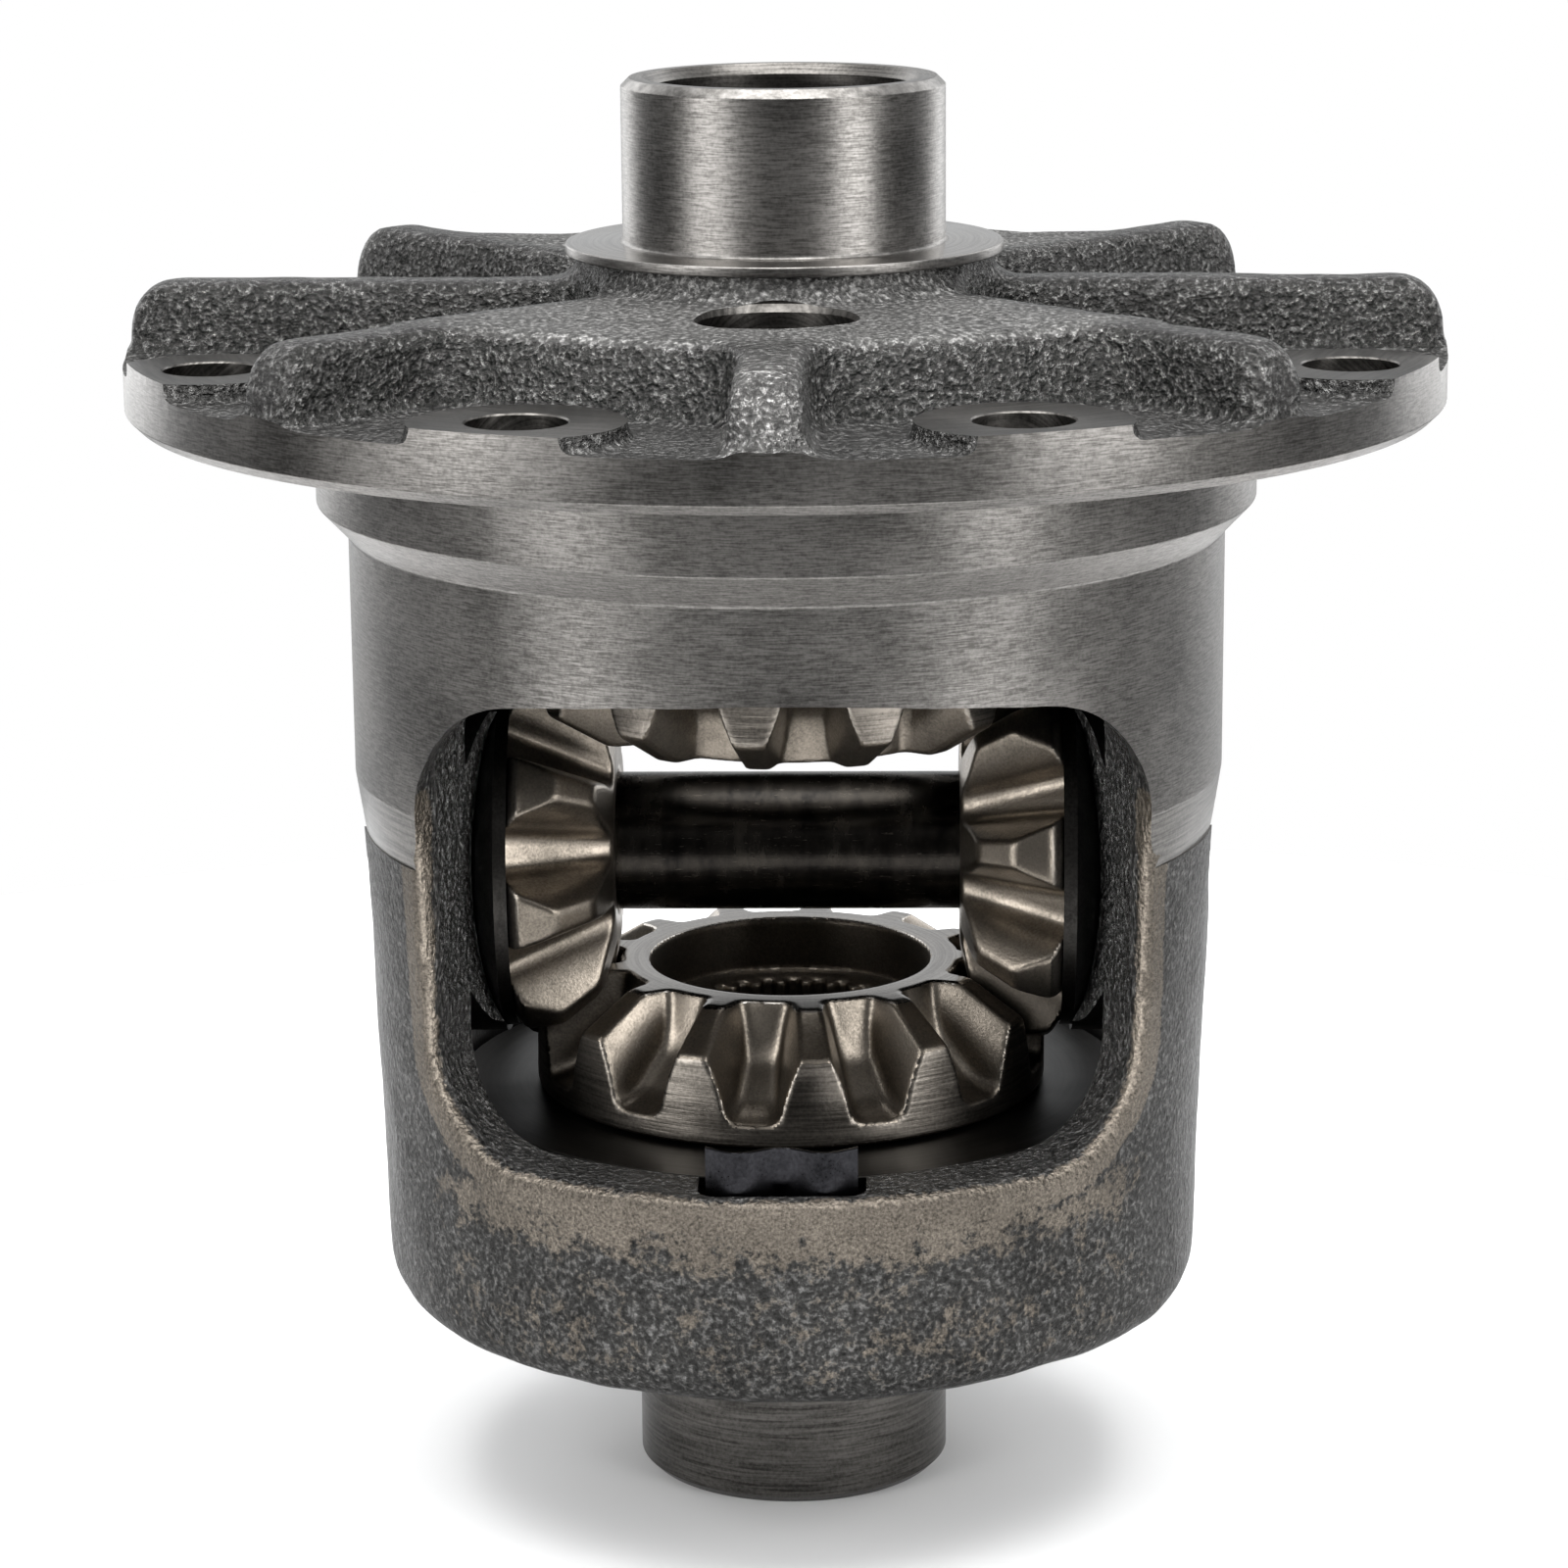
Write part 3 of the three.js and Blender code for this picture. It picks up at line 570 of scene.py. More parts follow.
def scratched_look(name, dark, light, rough):
    """Black polished steel with faint random scratches and smears of oil."""
    look = Look(name)
    _, x, y, z, _ = look.places()
    along = look.vector(x, look.math("MULTIPLY", y, 0.5), look.math("MULTIPLY", z, 0.5))
    smear = look.noise(along, 0.22, 5.0, 0.7)
    drawn = look.vector(look.math("MULTIPLY", x, 0.35), y, look.math("MULTIPLY", z, 3.0))
    scratch = look.noise(drawn, 1.1, 5.0, 0.75)
    lines = look.spread(scratch, 0.6, 0.72)
    mixed = look.math("MULTIPLY_ADD", lines, 0.6, smear)
    color = look.ramp(mixed, [(0.35, dark), (1.0, light)])
    roughness = look.spread(mixed, 0.3, 0.9, rough, rough + 0.16)
    return look.finish(color, roughness, 1.0, look.bump(scratch, 0.01))


CAST = cast_look("cast_iron")
TURNED = turned_look("turned_iron", (0.085, 0.081, 0.076), (0.215, 0.206, 0.196))
# Darker bored finish for the bores; on the taper ring and the lower journal it is painted shade.
BORED_AND_SHADE = turned_look(
    "bored_iron_and_painted_shade", (0.04, 0.038, 0.035), (0.13, 0.123, 0.115), 0.34, pitch=0.4, length=9.0
)
# The inside of the case, nearly black as painted shade of the closed cavity.
SHADED_INSIDE = satin_look("inside_painted_shade", (0.022, 0.021, 0.02), (0.06, 0.057, 0.054), 0.42, 1.6, 0.06)
FORGED = satin_look("forged_steel", (0.1, 0.088, 0.073), (0.24, 0.21, 0.175), 0.34)
GEAR_TURNED = turned_look(
    "turned_gear", (0.1, 0.09, 0.078), (0.27, 0.245, 0.215), 0.33, "Z", 0.36, 9.0, 0.03
)
PINION_TURNED = turned_look(
    "turned_pinion", (0.1, 0.09, 0.078), (0.26, 0.235, 0.205), 0.33, "X", 0.36, 9.0, 0.02
)
GROUND_RING = turned_look(
    "ground_ring", (0.24, 0.225, 0.21), (0.4, 0.38, 0.355), 0.18, "Z", 0.25, 14.0, 0.004
)
SHAFT = scratched_look("black_shaft", (0.009, 0.0085, 0.008), (0.07, 0.062, 0.052), 0.2)
# Ground steel plates, nearly black as painted shade inside the case.
SHADED_PLATE = turned_look(
    "ground_plate_painted_shade", (0.008, 0.0076, 0.007), (0.026, 0.025, 0.023), 0.42, "Z", 0.4, 16.0, 0.008
)
LINING = satin_look("friction_lining", (0.028, 0.024, 0.019), (0.07, 0.06, 0.048), 0.6, 4.5, 0.08, 0.4)
SPRING = satin_look("black_spring", (0.009, 0.009, 0.01), (0.028, 0.028, 0.031), 0.22, 2.0, 0.003)
# Pinion thrust washers, nearly black as painted shade behind the pinions.
SHADED_WASHER = satin_look("washer_painted_shade", (0.014, 0.013, 0.0125), (0.04, 0.038, 0.035), 0.38, 2.4, 0.02)
PIN = satin_look("pin_steel", (0.1, 0.096, 0.09), (0.22, 0.21, 0.2), 0.3, 2.5, 0.015)

CASE_LOOKS = [CAST, TURNED, BORED_AND_SHADE, SHADED_INSIDE]


# ---- the case ----
def window_distance(x, y, z):
    """Distance into the flared cast openings at the front and the back."""
    depth = np.abs(y)
    half = WINDOW_INNER_HALF + WINDOW_FLARE * (depth - WINDOW_INNER_Y)
    draft = np.clip((AXIS_Z - z) / 32, 0, 1) ** 2 * np.clip((depth - WINDOW_INNER_Y) / 12, 0, 1)
    across = (np.abs(x) - half + WINDOW_DRAFT * draft) * 0.93
    high_corner = HIGH_CORNER_R + 0.55 * np.clip(depth - WINDOW_INNER_Y, 0, 14)
    corner = np.where(z < AXIS_Z, LOW_CORNER_R, high_corner)
    arch = WINDOW_HIGH_Z + 0.4 - WINDOW_ARCH * x * x
    up = np.maximum(WINDOW_LOW_Z - z, z - arch) + corner
    side = across + corner
    far = np.sqrt(np.maximum(side, 0) ** 2 + np.maximum(up, 0) ** 2)
    flat = far + np.minimum(np.maximum(side, up), 0) - corner
    return np.maximum(flat, 14 - depth)


def cast_blank():
    """The rough casting: barrel, flange, ribs, webs, bosses and windows.

    The last number of each soft_min and soft_max sets the size of that fillet or rounding.
    """
    step = 0.72
    low = (-89.0, -89.0, 22.0)
    x, y, z = field_axes(low, (89.0, 89.0, 167.0), step)
    radius = np.sqrt(x * x + y * y)
    folded = (np.arctan2(y, x) + math.pi / RIB_COUNT) % (2 * math.pi / RIB_COUNT) - math.pi / RIB_COUNT
    along = radius * np.cos(folded)
    across = np.abs(radius * np.sin(folded))

    barrel_r = np.interp(z, BARREL_HEIGHTS, BARREL_RADII).astype(np.float32)
    body = soft_max(radius - barrel_r, BODY_BOTTOM_Z - z, 6.0)
    body = soft_max(body, z - (FLANGE_TOP_Z - 3), 0.5)
    disc = soft_max(radius - 87.5, np.abs(z - 146.0) - (FLANGE_TOP_Z - 146.0), 0.5)
    body = soft_min(body, disc, 1.0)

    drop = PLATEAU_Z - z
    rib = soft_max(along - RIB_END_R, -drop, 7.0)
    rib = soft_max(rib, across - (RIB_HALF - 0.2 + 0.06 * drop), 2.6)
    rib = np.maximum(rib, 20 - along)
    web = (radius - (PLATEAU_R + 0.3 * drop)) * 0.95
    web = soft_max(web, -drop, 2.6)
    web = np.maximum(web, (np.abs(x) - np.abs(y)) * 0.7071)
    top = soft_min(web, rib, 7.0)
    top = soft_max(top, -drop, 0.8)
    top = np.maximum(top, 144 - z)
    body = soft_min(body, top, 2.4)
    hub = soft_max(radius - (HUB_TOP_R + 0.12 * (HUB_TOP_Z - z)), z - HUB_TOP_Z, 0.8)
    hub = np.maximum(hub, 150 - z)
    body = soft_min(body, hub, 3.6)

    turn = (np.arctan2(y, x) % (math.pi / 4)) - math.pi / 8
    from_boss = np.sqrt(
        (radius * np.cos(turn) - BOLT_CIRCLE_R) ** 2 + (radius * np.sin(turn)) ** 2
    )
    boss = soft_max(from_boss - (BOSS_R + 0.1 * (BOSS_TOP_Z - z)), z - (BOSS_TOP_Z + 1.2), 0.8)
    boss = np.maximum(boss, 145 - z)
    body = soft_min(body, boss, 1.2)

    body = soft_max(body, -window_distance(x, y, z), 2.2)
    axes = (x, y, z)
    body = body + 0.2 * lumps(axes, 7.0, 11) + 0.085 * lumps(axes, 2.4, 12)
    return field_object("case_detail", body, low, step, CASE_LOOKS)


def turned_envelope():
    """Everything the lathe leaves standing: wide open where the casting stays as it was cast."""
    clear = 96
    profile = rounded(
        [
            (0, 20.9),
            (27.6, 20.9),
            (SHOULDER_R, 21.3),
            (SHOULDER_R, 24.0),
            (clear, 24.0),
            (clear, 88.6),
            (55.5, 89.4),
            (BODY_R, 96.9, 3),
            (BODY_R, 128.2, 0.8),
            (PILOT_R, 132.4, 0.5),
            (PILOT_R, 142.9),
            (PILOT_R - 0.5, 143.3),
            (PILOT_R - 0.5, FLANGE_FACE_Z),
            (FLANGE_R - 1.2, FLANGE_FACE_Z),
            (FLANGE_R, FLANGE_FACE_Z + 1.2, 0.3),
            (FLANGE_R, 162),
            (36, 162),
            (33.5, 163.1),
            (SHOULDER_R, 163.1),
            (SHOULDER_R, 164.2, 0.3),
            (27.6, 164.6, 0.2),
            (0, 164.6),
        ]
    )
    return lathe("envelope", profile, slots=CASE_LOOKS, slot=TURNED_SLOT)


def journal_core():
    """Both bearing journals with their thrust discs, root fillets and end chamfers."""
    inset = JOURNAL_R - JOURNAL_CHAMFER
    top = CASE_HEIGHT - JOURNAL_LENGTH
    half = [
        (JOURNAL_R, CASE_HEIGHT - JOURNAL_CHAMFER, 0.25),
        (inset, CASE_HEIGHT, 0.25),
        (0, CASE_HEIGHT),
    ]
    low = [
        (0, 0),
        (inset, 0, 0.25),
        (JOURNAL_R, JOURNAL_CHAMFER, 0.25),
        (JOURNAL_R, JOURNAL_LENGTH, 0.6),
        (SHOULDER_R, JOURNAL_LENGTH, 0.3),
        (SHOULDER_R, BODY_BOTTOM_Z + 1.5),
        (JOURNAL_R + 1.2, BODY_BOTTOM_Z + 1.5),
        (JOURNAL_R + 1.2, top - DISC_RIM),
        (SHOULDER_R, top - DISC_RIM, 0.2),
        (SHOULDER_R, top, 0.3),
        (JOURNAL_R, top, 0.6),
    ]
    return lathe("core", rounded(low + half), slots=CASE_LOOKS, slot=TURNED_SLOT)


def case_detail():
    """The casting, trimmed to its turned surfaces and opened up by every bore, hole and slot."""
    case = cast_blank()
    case = combine(case, turned_envelope(), "INTERSECT")
    case = combine(case, journal_core(), "UNION")

    # The cavity, its seats and the ear slots take the inside finish, which is painted shade.
    inside = lathe(
        "cavity",
        rounded(
            [
                (0, AXIS_Z - CAVITY_REACH),
                (CAVITY_R, AXIS_Z - CAVITY_REACH, 1.5),
                (CAVITY_R, AXIS_Z + CAVITY_REACH, 1.5),
                (0, AXIS_Z + CAVITY_REACH),
            ]
        ),
        slots=CASE_LOOKS,
        slot=SHADED_INSIDE_SLOT,
    )
    for side in (1, -1):
        turn = Matrix.Rotation(side * math.pi / 2, 4, "Y")
        pad = rod("pad", SEAT_PAD_R, SEAT_PAD_INNER, CAVITY_R + 4, 0, CASE_LOOKS, SHADED_INSIDE_SLOT, 96)
        arc = [
            (SEAT_R * math.sin(a * DEG), SEAT_R * math.cos(a * DEG)) for a in range(38, -1, -2)
        ]
        arc[-1] = (0, SEAT_R)
        dome = lathe("dome", [(0, 20), (arc[0][0], 20), *arc], 96, CASE_LOOKS, SHADED_INSIDE_SLOT)
        pad = combine(pad, dome, "DIFFERENCE")
        inside = combine(inside, moved(pad, shift(z=AXIS_Z) @ turn), "DIFFERENCE")
    case = combine(case, inside, "DIFFERENCE")

    for front in (1, -1):
        for up in (1, -1):
            outline = []
            for cx, start in ((1, 0), (-1, 90)):
                for i in range(7):
                    a = (start + i * 15) * DEG
                    outline.append(
                        (
                            cx * (EAR_SLOT_HALF - 2.5) + 2.5 * math.cos(a),
                            EAR_SLOT_REACH - 2.5 + 2.5 * math.sin(a),
                        )
                    )
            outline += [(-EAR_SLOT_HALF, 38), (EAR_SLOT_HALF, 38)]
            slot = prism("slot", outline, EAR_SLOT_START, CAVITY_REACH, CASE_LOOKS, SHADED_INSIDE_SLOT)
            turn = Matrix.Rotation(0 if front > 0 else math.pi, 4, "Z")
            flip = Matrix.Identity(4) if up > 0 else FLIP @ Matrix.Rotation(math.pi, 4, "Z")
            case = combine(case, moved(slot, shift(z=AXIS_Z) @ flip @ turn), "DIFFERENCE")

    for i in range(RIB_COUNT):
        angle = (i + 0.5) * 2 * math.pi / RIB_COUNT
        at = shift(BOLT_CIRCLE_R * math.cos(angle), BOLT_CIRCLE_R * math.sin(angle))
        face = rod(
            "spot_face", BOSS_R + 0.55, BOSS_TOP_Z, BOSS_TOP_Z + 20, 0, CASE_LOOKS, BORED_AND_SHADE_SLOT, 72
        )
        case = combine(case, moved(face, at), "DIFFERENCE")
        drill = [
            (0, 140),
            (BOLT_HOLE_R + 1.4, 140),
            (BOLT_HOLE_R + 1.4, FLANGE_FACE_Z),
            (BOLT_HOLE_R, FLANGE_FACE_Z + 1.0),
            (BOLT_HOLE_R, BOSS_TOP_Z - 0.2),
            (BOLT_HOLE_R + 0.2, BOSS_TOP_Z),
            (BOLT_HOLE_R + 0.2, 158),
            (0, 158),
        ]
        hole = lathe("bolt_hole", drill, 64, CASE_LOOKS, BORED_AND_SHADE_SLOT)
        case = combine(case, moved(hole, at), "DIFFERENCE")

    cross = rod("shaft_hole", SHAFT_HOLE_R, -62, 62, 0, CASE_LOOKS, BORED_AND_SHADE_SLOT, 64)
    turn = Matrix.Rotation(math.pi / 2, 4, "Y")
    case = combine(case, moved(cross, shift(z=AXIS_Z) @ turn), "DIFFERENCE")
    ends = (LOCK_PIN_TO_Y - 1, LOCK_PIN_FROM_Y + 9)
    lock = rod("lock_hole", LOCK_HOLE_R, *ends, 0, CASE_LOOKS, BORED_AND_SHADE_SLOT, 32)
    turn = Matrix.Rotation(-math.pi / 2, 4, "X")
    case = combine(case, moved(lock, shift(LOCK_PIN_X, 0, AXIS_Z) @ turn), "DIFFERENCE")
    access = [
        (0, AXIS_Z + 30),
        (ACCESS_HOLE_R, AXIS_Z + 30),
        (ACCESS_HOLE_R, PLATEAU_Z - 0.7),
        (ACCESS_HOLE_R + 0.9, PLATEAU_Z + 0.2),
        (ACCESS_HOLE_R + 0.9, 170),
        (0, 170),
    ]
    hole = lathe("access_hole", access, 72, CASE_LOOKS, BORED_AND_SHADE_SLOT)
    case = combine(case, moved(hole, shift(0, ACCESS_HOLE_Y)), "DIFFERENCE")
    bore = [
        (0, -1),
        (AXLE_BORE_R + 1.2, -1),
        (AXLE_BORE_R + 1.2, 0),
        (AXLE_BORE_R, 1.3),
        (AXLE_BORE_R, CASE_HEIGHT - 1.3),
        (AXLE_BORE_R + 1.2, CASE_HEIGHT),
        (AXLE_BORE_R + 1.2, CASE_HEIGHT + 1),
        (0, CASE_HEIGHT + 1),
    ]
    case = combine(case, lathe("axle_bore", bore, slots=CASE_LOOKS, slot=BORED_AND_SHADE_SLOT), "DIFFERENCE")
    paint_case(case)
    return smooth(case, 32)


def paint_case(case):
    """Writes where the casting was ground, where its skin is smooth, and its painted light and shade.
    """
    mesh = case.data
    points = np.zeros(len(mesh.vertices) * 3, np.float32)
    mesh.vertices.foreach_get("co", points)
    x, y, z = (points.reshape(-1, 3) / MM).T
    radius = np.hypot(x, y)
    edge = window_distance(x, y, z)
    outer = np.clip((radius - 52.0) / 2.5, 0, 1) * (z < 100)
    near = np.clip((4.2 - edge) / 0.9 + 0.5, 0, 1) * np.clip((edge + 1.6) / 1.2, 0, 1)
    under = np.clip(1 - np.abs(z - 48) / 9, 0, 1) * np.clip((50 - np.abs(x)) / 10, 0, 1)
    streak = 0.5 * np.clip((56 - z) / 20, 0, 1) * np.clip((52 - np.abs(x)) / 12, 0, 1)
    rim = 0.42 * np.clip((34 - z) / 6, 0, 1)
    ground = outer * np.clip(np.maximum.reduce([near, 0.8 * under, streak, rim]), 0, 1)
    raised = np.clip((np.abs(y) - np.abs(x)) / 4 + 1, 0, 1) * np.clip((62 - radius) / 6, 0, 1)
    calm = np.clip((z - 158.6) / 0.8, 0, 1) * np.maximum(raised, 0.25)
    calm = np.maximum(calm, np.clip((0.8 - np.abs(z - FLANGE_TOP_Z)) / 0.5, 0, 1) * 0.6)
    calm = np.maximum(calm, 0.45 * (z < 130) * (radius > 52))
    # Light and shade painted into the cast colour: painted highlight on the plateau top, the front
    # rib's end and the window jambs, painted shade on the lower body.
    painted_light_shade = np.where(z < 130, 0.75, 1.0) + 0.75 * raised * (z > 158.6)
    front_rib = (z > FLANGE_TOP_Z) * np.clip((radius - 60) / 10, 0, 1) * np.clip(6 - np.abs(x), 0, 1)
    painted_light_shade = painted_light_shade + front_rib * (y < 0) + 1.1 * (edge < 0.8) * (z < 130) * (radius < 57)
    for name, values in (("ground", ground), ("smooth_cast", calm), ("painted_light_shade", painted_light_shade)):
        layer = mesh.attributes.new(name, "FLOAT", "POINT")
        layer.data.foreach_set("value", values.astype(np.float32))
    slots = np.zeros(len(mesh.polygons), np.int32)
    mesh.polygons.foreach_get("material_index", slots)

    def recut(p, n):
        out = np.hypot(p[:, 0], p[:, 1])
        height = p[:, 2]
        lathed = slots == TURNED_SLOT
        # The taper ring takes the darker bored finish as painted shade, in place of its bright
        # reflection of the floor.
        taper = lathed & (height > 88) & (height < 96.5) & (out > 54)
        disc = lathed & (height > 164) & (height < 165) & (out > JOURNAL_R) & (n[:, 2] > 0.9)
        # The lower journal takes it too, as painted shade.
        low_journal = lathed & (height < 22) & (out < JOURNAL_R + 1)
        return np.where(taper | low_journal, BORED_AND_SHADE_SLOT, np.where(disc, DISC_SLOT, slots))

    mesh.materials.append(GROUND_RING)
    mark_slots(case, recut)


# ---- the gears ----
def involute(angle):
    return np.tan(angle) - angle


def tooth_half_angle(cone, pitch, teeth, share):
    """Half the angle a bevel tooth takes up about its gear's axis, at a cone angle."""
    pitch_r = math.tan(pitch)
    base_r = pitch_r * math.cos(PRESSURE_ANGLE)
    here = pitch_r + np.tan(cone - pitch)
    half = share * math.pi * math.sin(pitch) / teeth
    flank = np.arccos(np.minimum(1, base_r / here))
    angle = half / pitch_r + involute(PRESSURE_ANGLE) - involute(flank)
    return angle * here * np.cos(cone - pitch) / np.sin(cone)


def space_distance(x, y, radius, z, gear, phase):
    """How deep a point lies in a tooth space: flank and floor distances, positive inside."""
    teeth = gear["teeth"]
    cone = np.arctan2(radius, z)
    turn = 2 * math.pi / teeth
    azimuth = np.abs((np.arctan2(y, x) - phase + turn / 2) % turn - turn / 2)
    table = np.linspace(gear["root"] - 0.02, gear["tip"] + 0.2, 64)
    halves = math.pi / teeth - tooth_half_angle(table, gear["pitch"], teeth, gear["share"])
    space = np.interp(cone, table, halves).astype(np.float32)
    flank = (space - azimuth) * radius * math.cos(PRESSURE_ANGLE)
    floor = radius * math.cos(gear["root"]) - z * math.sin(gear["root"])
    return flank, floor


SIDE = {
    "teeth": SIDE_TEETH,
    "pitch": math.atan(SIDE_TEETH / PINION_TEETH),
    "tip": SIDE_TIP_ANGLE,
    "root": SIDE_ROOT_ANGLE,
    "share": SIDE_TOOTH_SHARE,
}
PINION = {
    "teeth": PINION_TEETH,
    "pitch": math.atan(PINION_TEETH / SIDE_TEETH),
    "tip": PINION_TIP_ANGLE,
    "root": PINION_ROOT_ANGLE,
    "share": PINION_TOOTH_SHARE,
}


def wave(angle, count):
    """A rounded trapezoid wave between -1 and 1."""
    return np.clip(1.7 * np.cos(angle * count), -1, 1)


def side_gear(name, phase, place):
    """A side gear with its splined hub and bore, made about its apex, then moved to its place."""
    step = 0.36
    low = (-35.0, -35.0, 13.5)
    x, y, z = field_axes(low, (35.0, 35.0, 48.5), step)
    radius = np.sqrt(x * x + y * y)
    angle = np.arctan2(y, x)
    tip = radius * math.cos(SIDE["tip"]) - z * math.sin(SIDE["tip"])
    body = soft_max(tip, SIDE_TOE - z, 0.5)
    body = soft_max(body, radius - SIDE_OUTER_R, 0.6)
    body = soft_max(body, z - SIDE_BACK, 0.8)

    flank, floor = space_distance(x, y, radius, z, SIDE, phase)
    flat = (SIDE_FLOOR_Z + 0.247 * (radius - SIDE_FLOOR_R) - z) * 0.971
    floor = soft_min(floor, flat, 1.0)
    wall = (radius - SIDE_WALL_TOP_R - SIDE_WALL_SLOPE * (z - SIDE_TOE)) * 0.965
    space = soft_min(soft_min(flank, floor, 1.8), wall, 1.0)
    body = soft_max(body, space, 0.45)

    hub = radius - (26.5 + 0.5 * wave(angle, HUB_SPLINE_COUNT))
    hub = np.maximum(hub, 29 - z)
    hub = soft_max(hub, z - SIDE_HUB_END, 1.0)
    body = soft_min(body, hub, 0.8)
    bore_radii = [SIDE_BORE_R, SIDE_BORE_R, 14.0, 14.0]
    bore = np.interp(z, [13, 23.0, 24.2, 50], bore_radii).astype(np.float32)
    splines = 15.4 + 0.5 * wave(angle, AXLE_SPLINE_COUNT)
    bore = np.maximum(bore, splines)
    body = soft_max(body, bore - radius, 0.6)
    gear = field_object(name, body, low, step, [FORGED, GEAR_TURNED, GROUND_RING])
    mark_slots(
        gear,
        lambda p, n: np.where(
            (np.hypot(p[:, 0], p[:, 1]) > SIDE_OUTER_R - 0.3) & (np.abs(n[:, 2]) < 0.3),
            1,
            np.where((p[:, 2] < SIDE_TOE + 0.25) & (n[:, 2] < -0.8), 2, 0),
        ),
    )
    return smooth(moved(gear, place), 40)


def pinion(name, place):
    """A pinion with its spherical back, made about its apex, then moved to its place."""
    step = 0.33
    low = (-27.5, -27.5, 20.5)
    x, y, z = field_axes(low, (27.5, 27.5, 44.5), step)
    radius = np.sqrt(x * x + y * y)
    tip = radius * math.cos(PINION["tip"]) - z * math.sin(PINION["tip"])
    toe_width = PINION_TOOTH_TOE * math.tan(PINION["tip"]) - PINION_TOE_RING_R
    rise = (PINION_TOOTH_TOE - PINION_TOE) / toe_width
    toe = (PINION_TOE + (radius - PINION_TOE_RING_R) * rise - z) * 0.97
    body = soft_max(tip, soft_max(PINION_TOE - z, toe, 0.3), 0.6)
    body = soft_max(body, radius - PINION_OUTER_R, 0.6)
    body = soft_max(body, np.sqrt(x * x + y * y + z * z) - PINION_BACK_R, 0.8)
    flank, floor = space_distance(x, y, radius, z, PINION, 0.0)
    space = soft_min(flank, floor, 1.8)
    body = soft_max(body, space, 0.5)
    body = soft_max(body, PINION_BORE_R - radius, 0.8)
    gear = field_object(name, body, low, step, [FORGED, PINION_TURNED])
    mark_slots(gear, lambda p, n: np.where(np.linalg.norm(p, axis=1) > PINION_BACK_R - 0.3, 1, 0))
    return smooth(moved(gear, place), 40)


def mark_slots(obj, choose):
    """Sets each face's finish from its middle, in millimetres, and its normal."""
    mesh = obj.data
    count = len(mesh.polygons)
    centres = np.zeros(count * 3, np.float32)
    normals = np.zeros(count * 3, np.float32)
    mesh.polygons.foreach_get("center", centres)
    mesh.polygons.foreach_get("normal", normals)
    slots = choose(centres.reshape(-1, 3) / MM, normals.reshape(-1, 3))
    mesh.polygons.foreach_set("material_index", slots.astype(np.int32))


# ---- shaft, pin, washers and clutch parts ----
def cross_shaft():
    """The polished rod the pinions turn on, drilled near one end for its lock pin."""
    end = SHAFT_HALF
    shaft = lathe(
        "cross_shaft_detail",
        rounded(
            [
                (0, -end),
                (SHAFT_R - 1.0, -end, 0.2),
                (SHAFT_R, -end + 1.0, 0.3),
                (SHAFT_R, end - 1.0, 0.3),
                (SHAFT_R - 1.0, end, 0.2),
                (0, end),
            ]
        ),
        96,
        [SHAFT],
    )
    turn = Matrix.Rotation(math.pi / 2, 4, "Y")
    shaft = moved(shaft, shift(z=AXIS_Z) @ turn)
    hole = rod("hole", LOCK_HOLE_R, -SHAFT_R - 2, SHAFT_R + 2, 0, [SHAFT], 0, 32)
    turn = Matrix.Rotation(math.pi / 2, 4, "X")
    shaft = combine(shaft, moved(hole, shift(LOCK_PIN_X, 0, AXIS_Z) @ turn), "DIFFERENCE")
    return smooth(shaft, 30)


def lock_pin():
    """The pin that keeps the cross shaft in the case."""
    pin = lathe(
        "shaft_lock_pin_detail",
        rounded(
            [
                (0, LOCK_PIN_TO_Y),
                (LOCK_PIN_R - 0.5, LOCK_PIN_TO_Y, 0.1),
                (LOCK_PIN_R, LOCK_PIN_TO_Y + 0.7, 0.2),
                (LOCK_PIN_R, LOCK_PIN_FROM_Y - 0.7, 0.2),
                (LOCK_PIN_R - 0.5, LOCK_PIN_FROM_Y, 0.1),
                (0, LOCK_PIN_FROM_Y),
            ]
        ),
        40,
        [PIN],
    )
    turn = Matrix.Rotation(-math.pi / 2, 4, "X")
    return smooth(moved(pin, shift(LOCK_PIN_X, 0, AXIS_Z) @ turn), 30)


def washer(name, turn):
    """A dished thrust washer, part of a sphere about the point where the gear axes cross."""
    radii = np.linspace(WASHER_HOLE_R, WASHER_RIM_R, 14)
    near = [(r, math.sqrt(WASHER_INNER_R**2 - r * r)) for r in radii]
    far = [(r, math.sqrt(WASHER_OUTER_R**2 - r * r)) for r in radii[::-1]]
    made = lathe(name, [*near, *far], 96, [SHADED_WASHER], 0, closed=True)
    return smooth(moved(made, shift(z=AXIS_Z) @ turn), 35)


def ring_outline(radius, count=144):
    angles = [i * 2 * math.pi / count for i in range(count)]
    return [(radius * math.cos(a), radius * math.sin(a)) for a in angles]


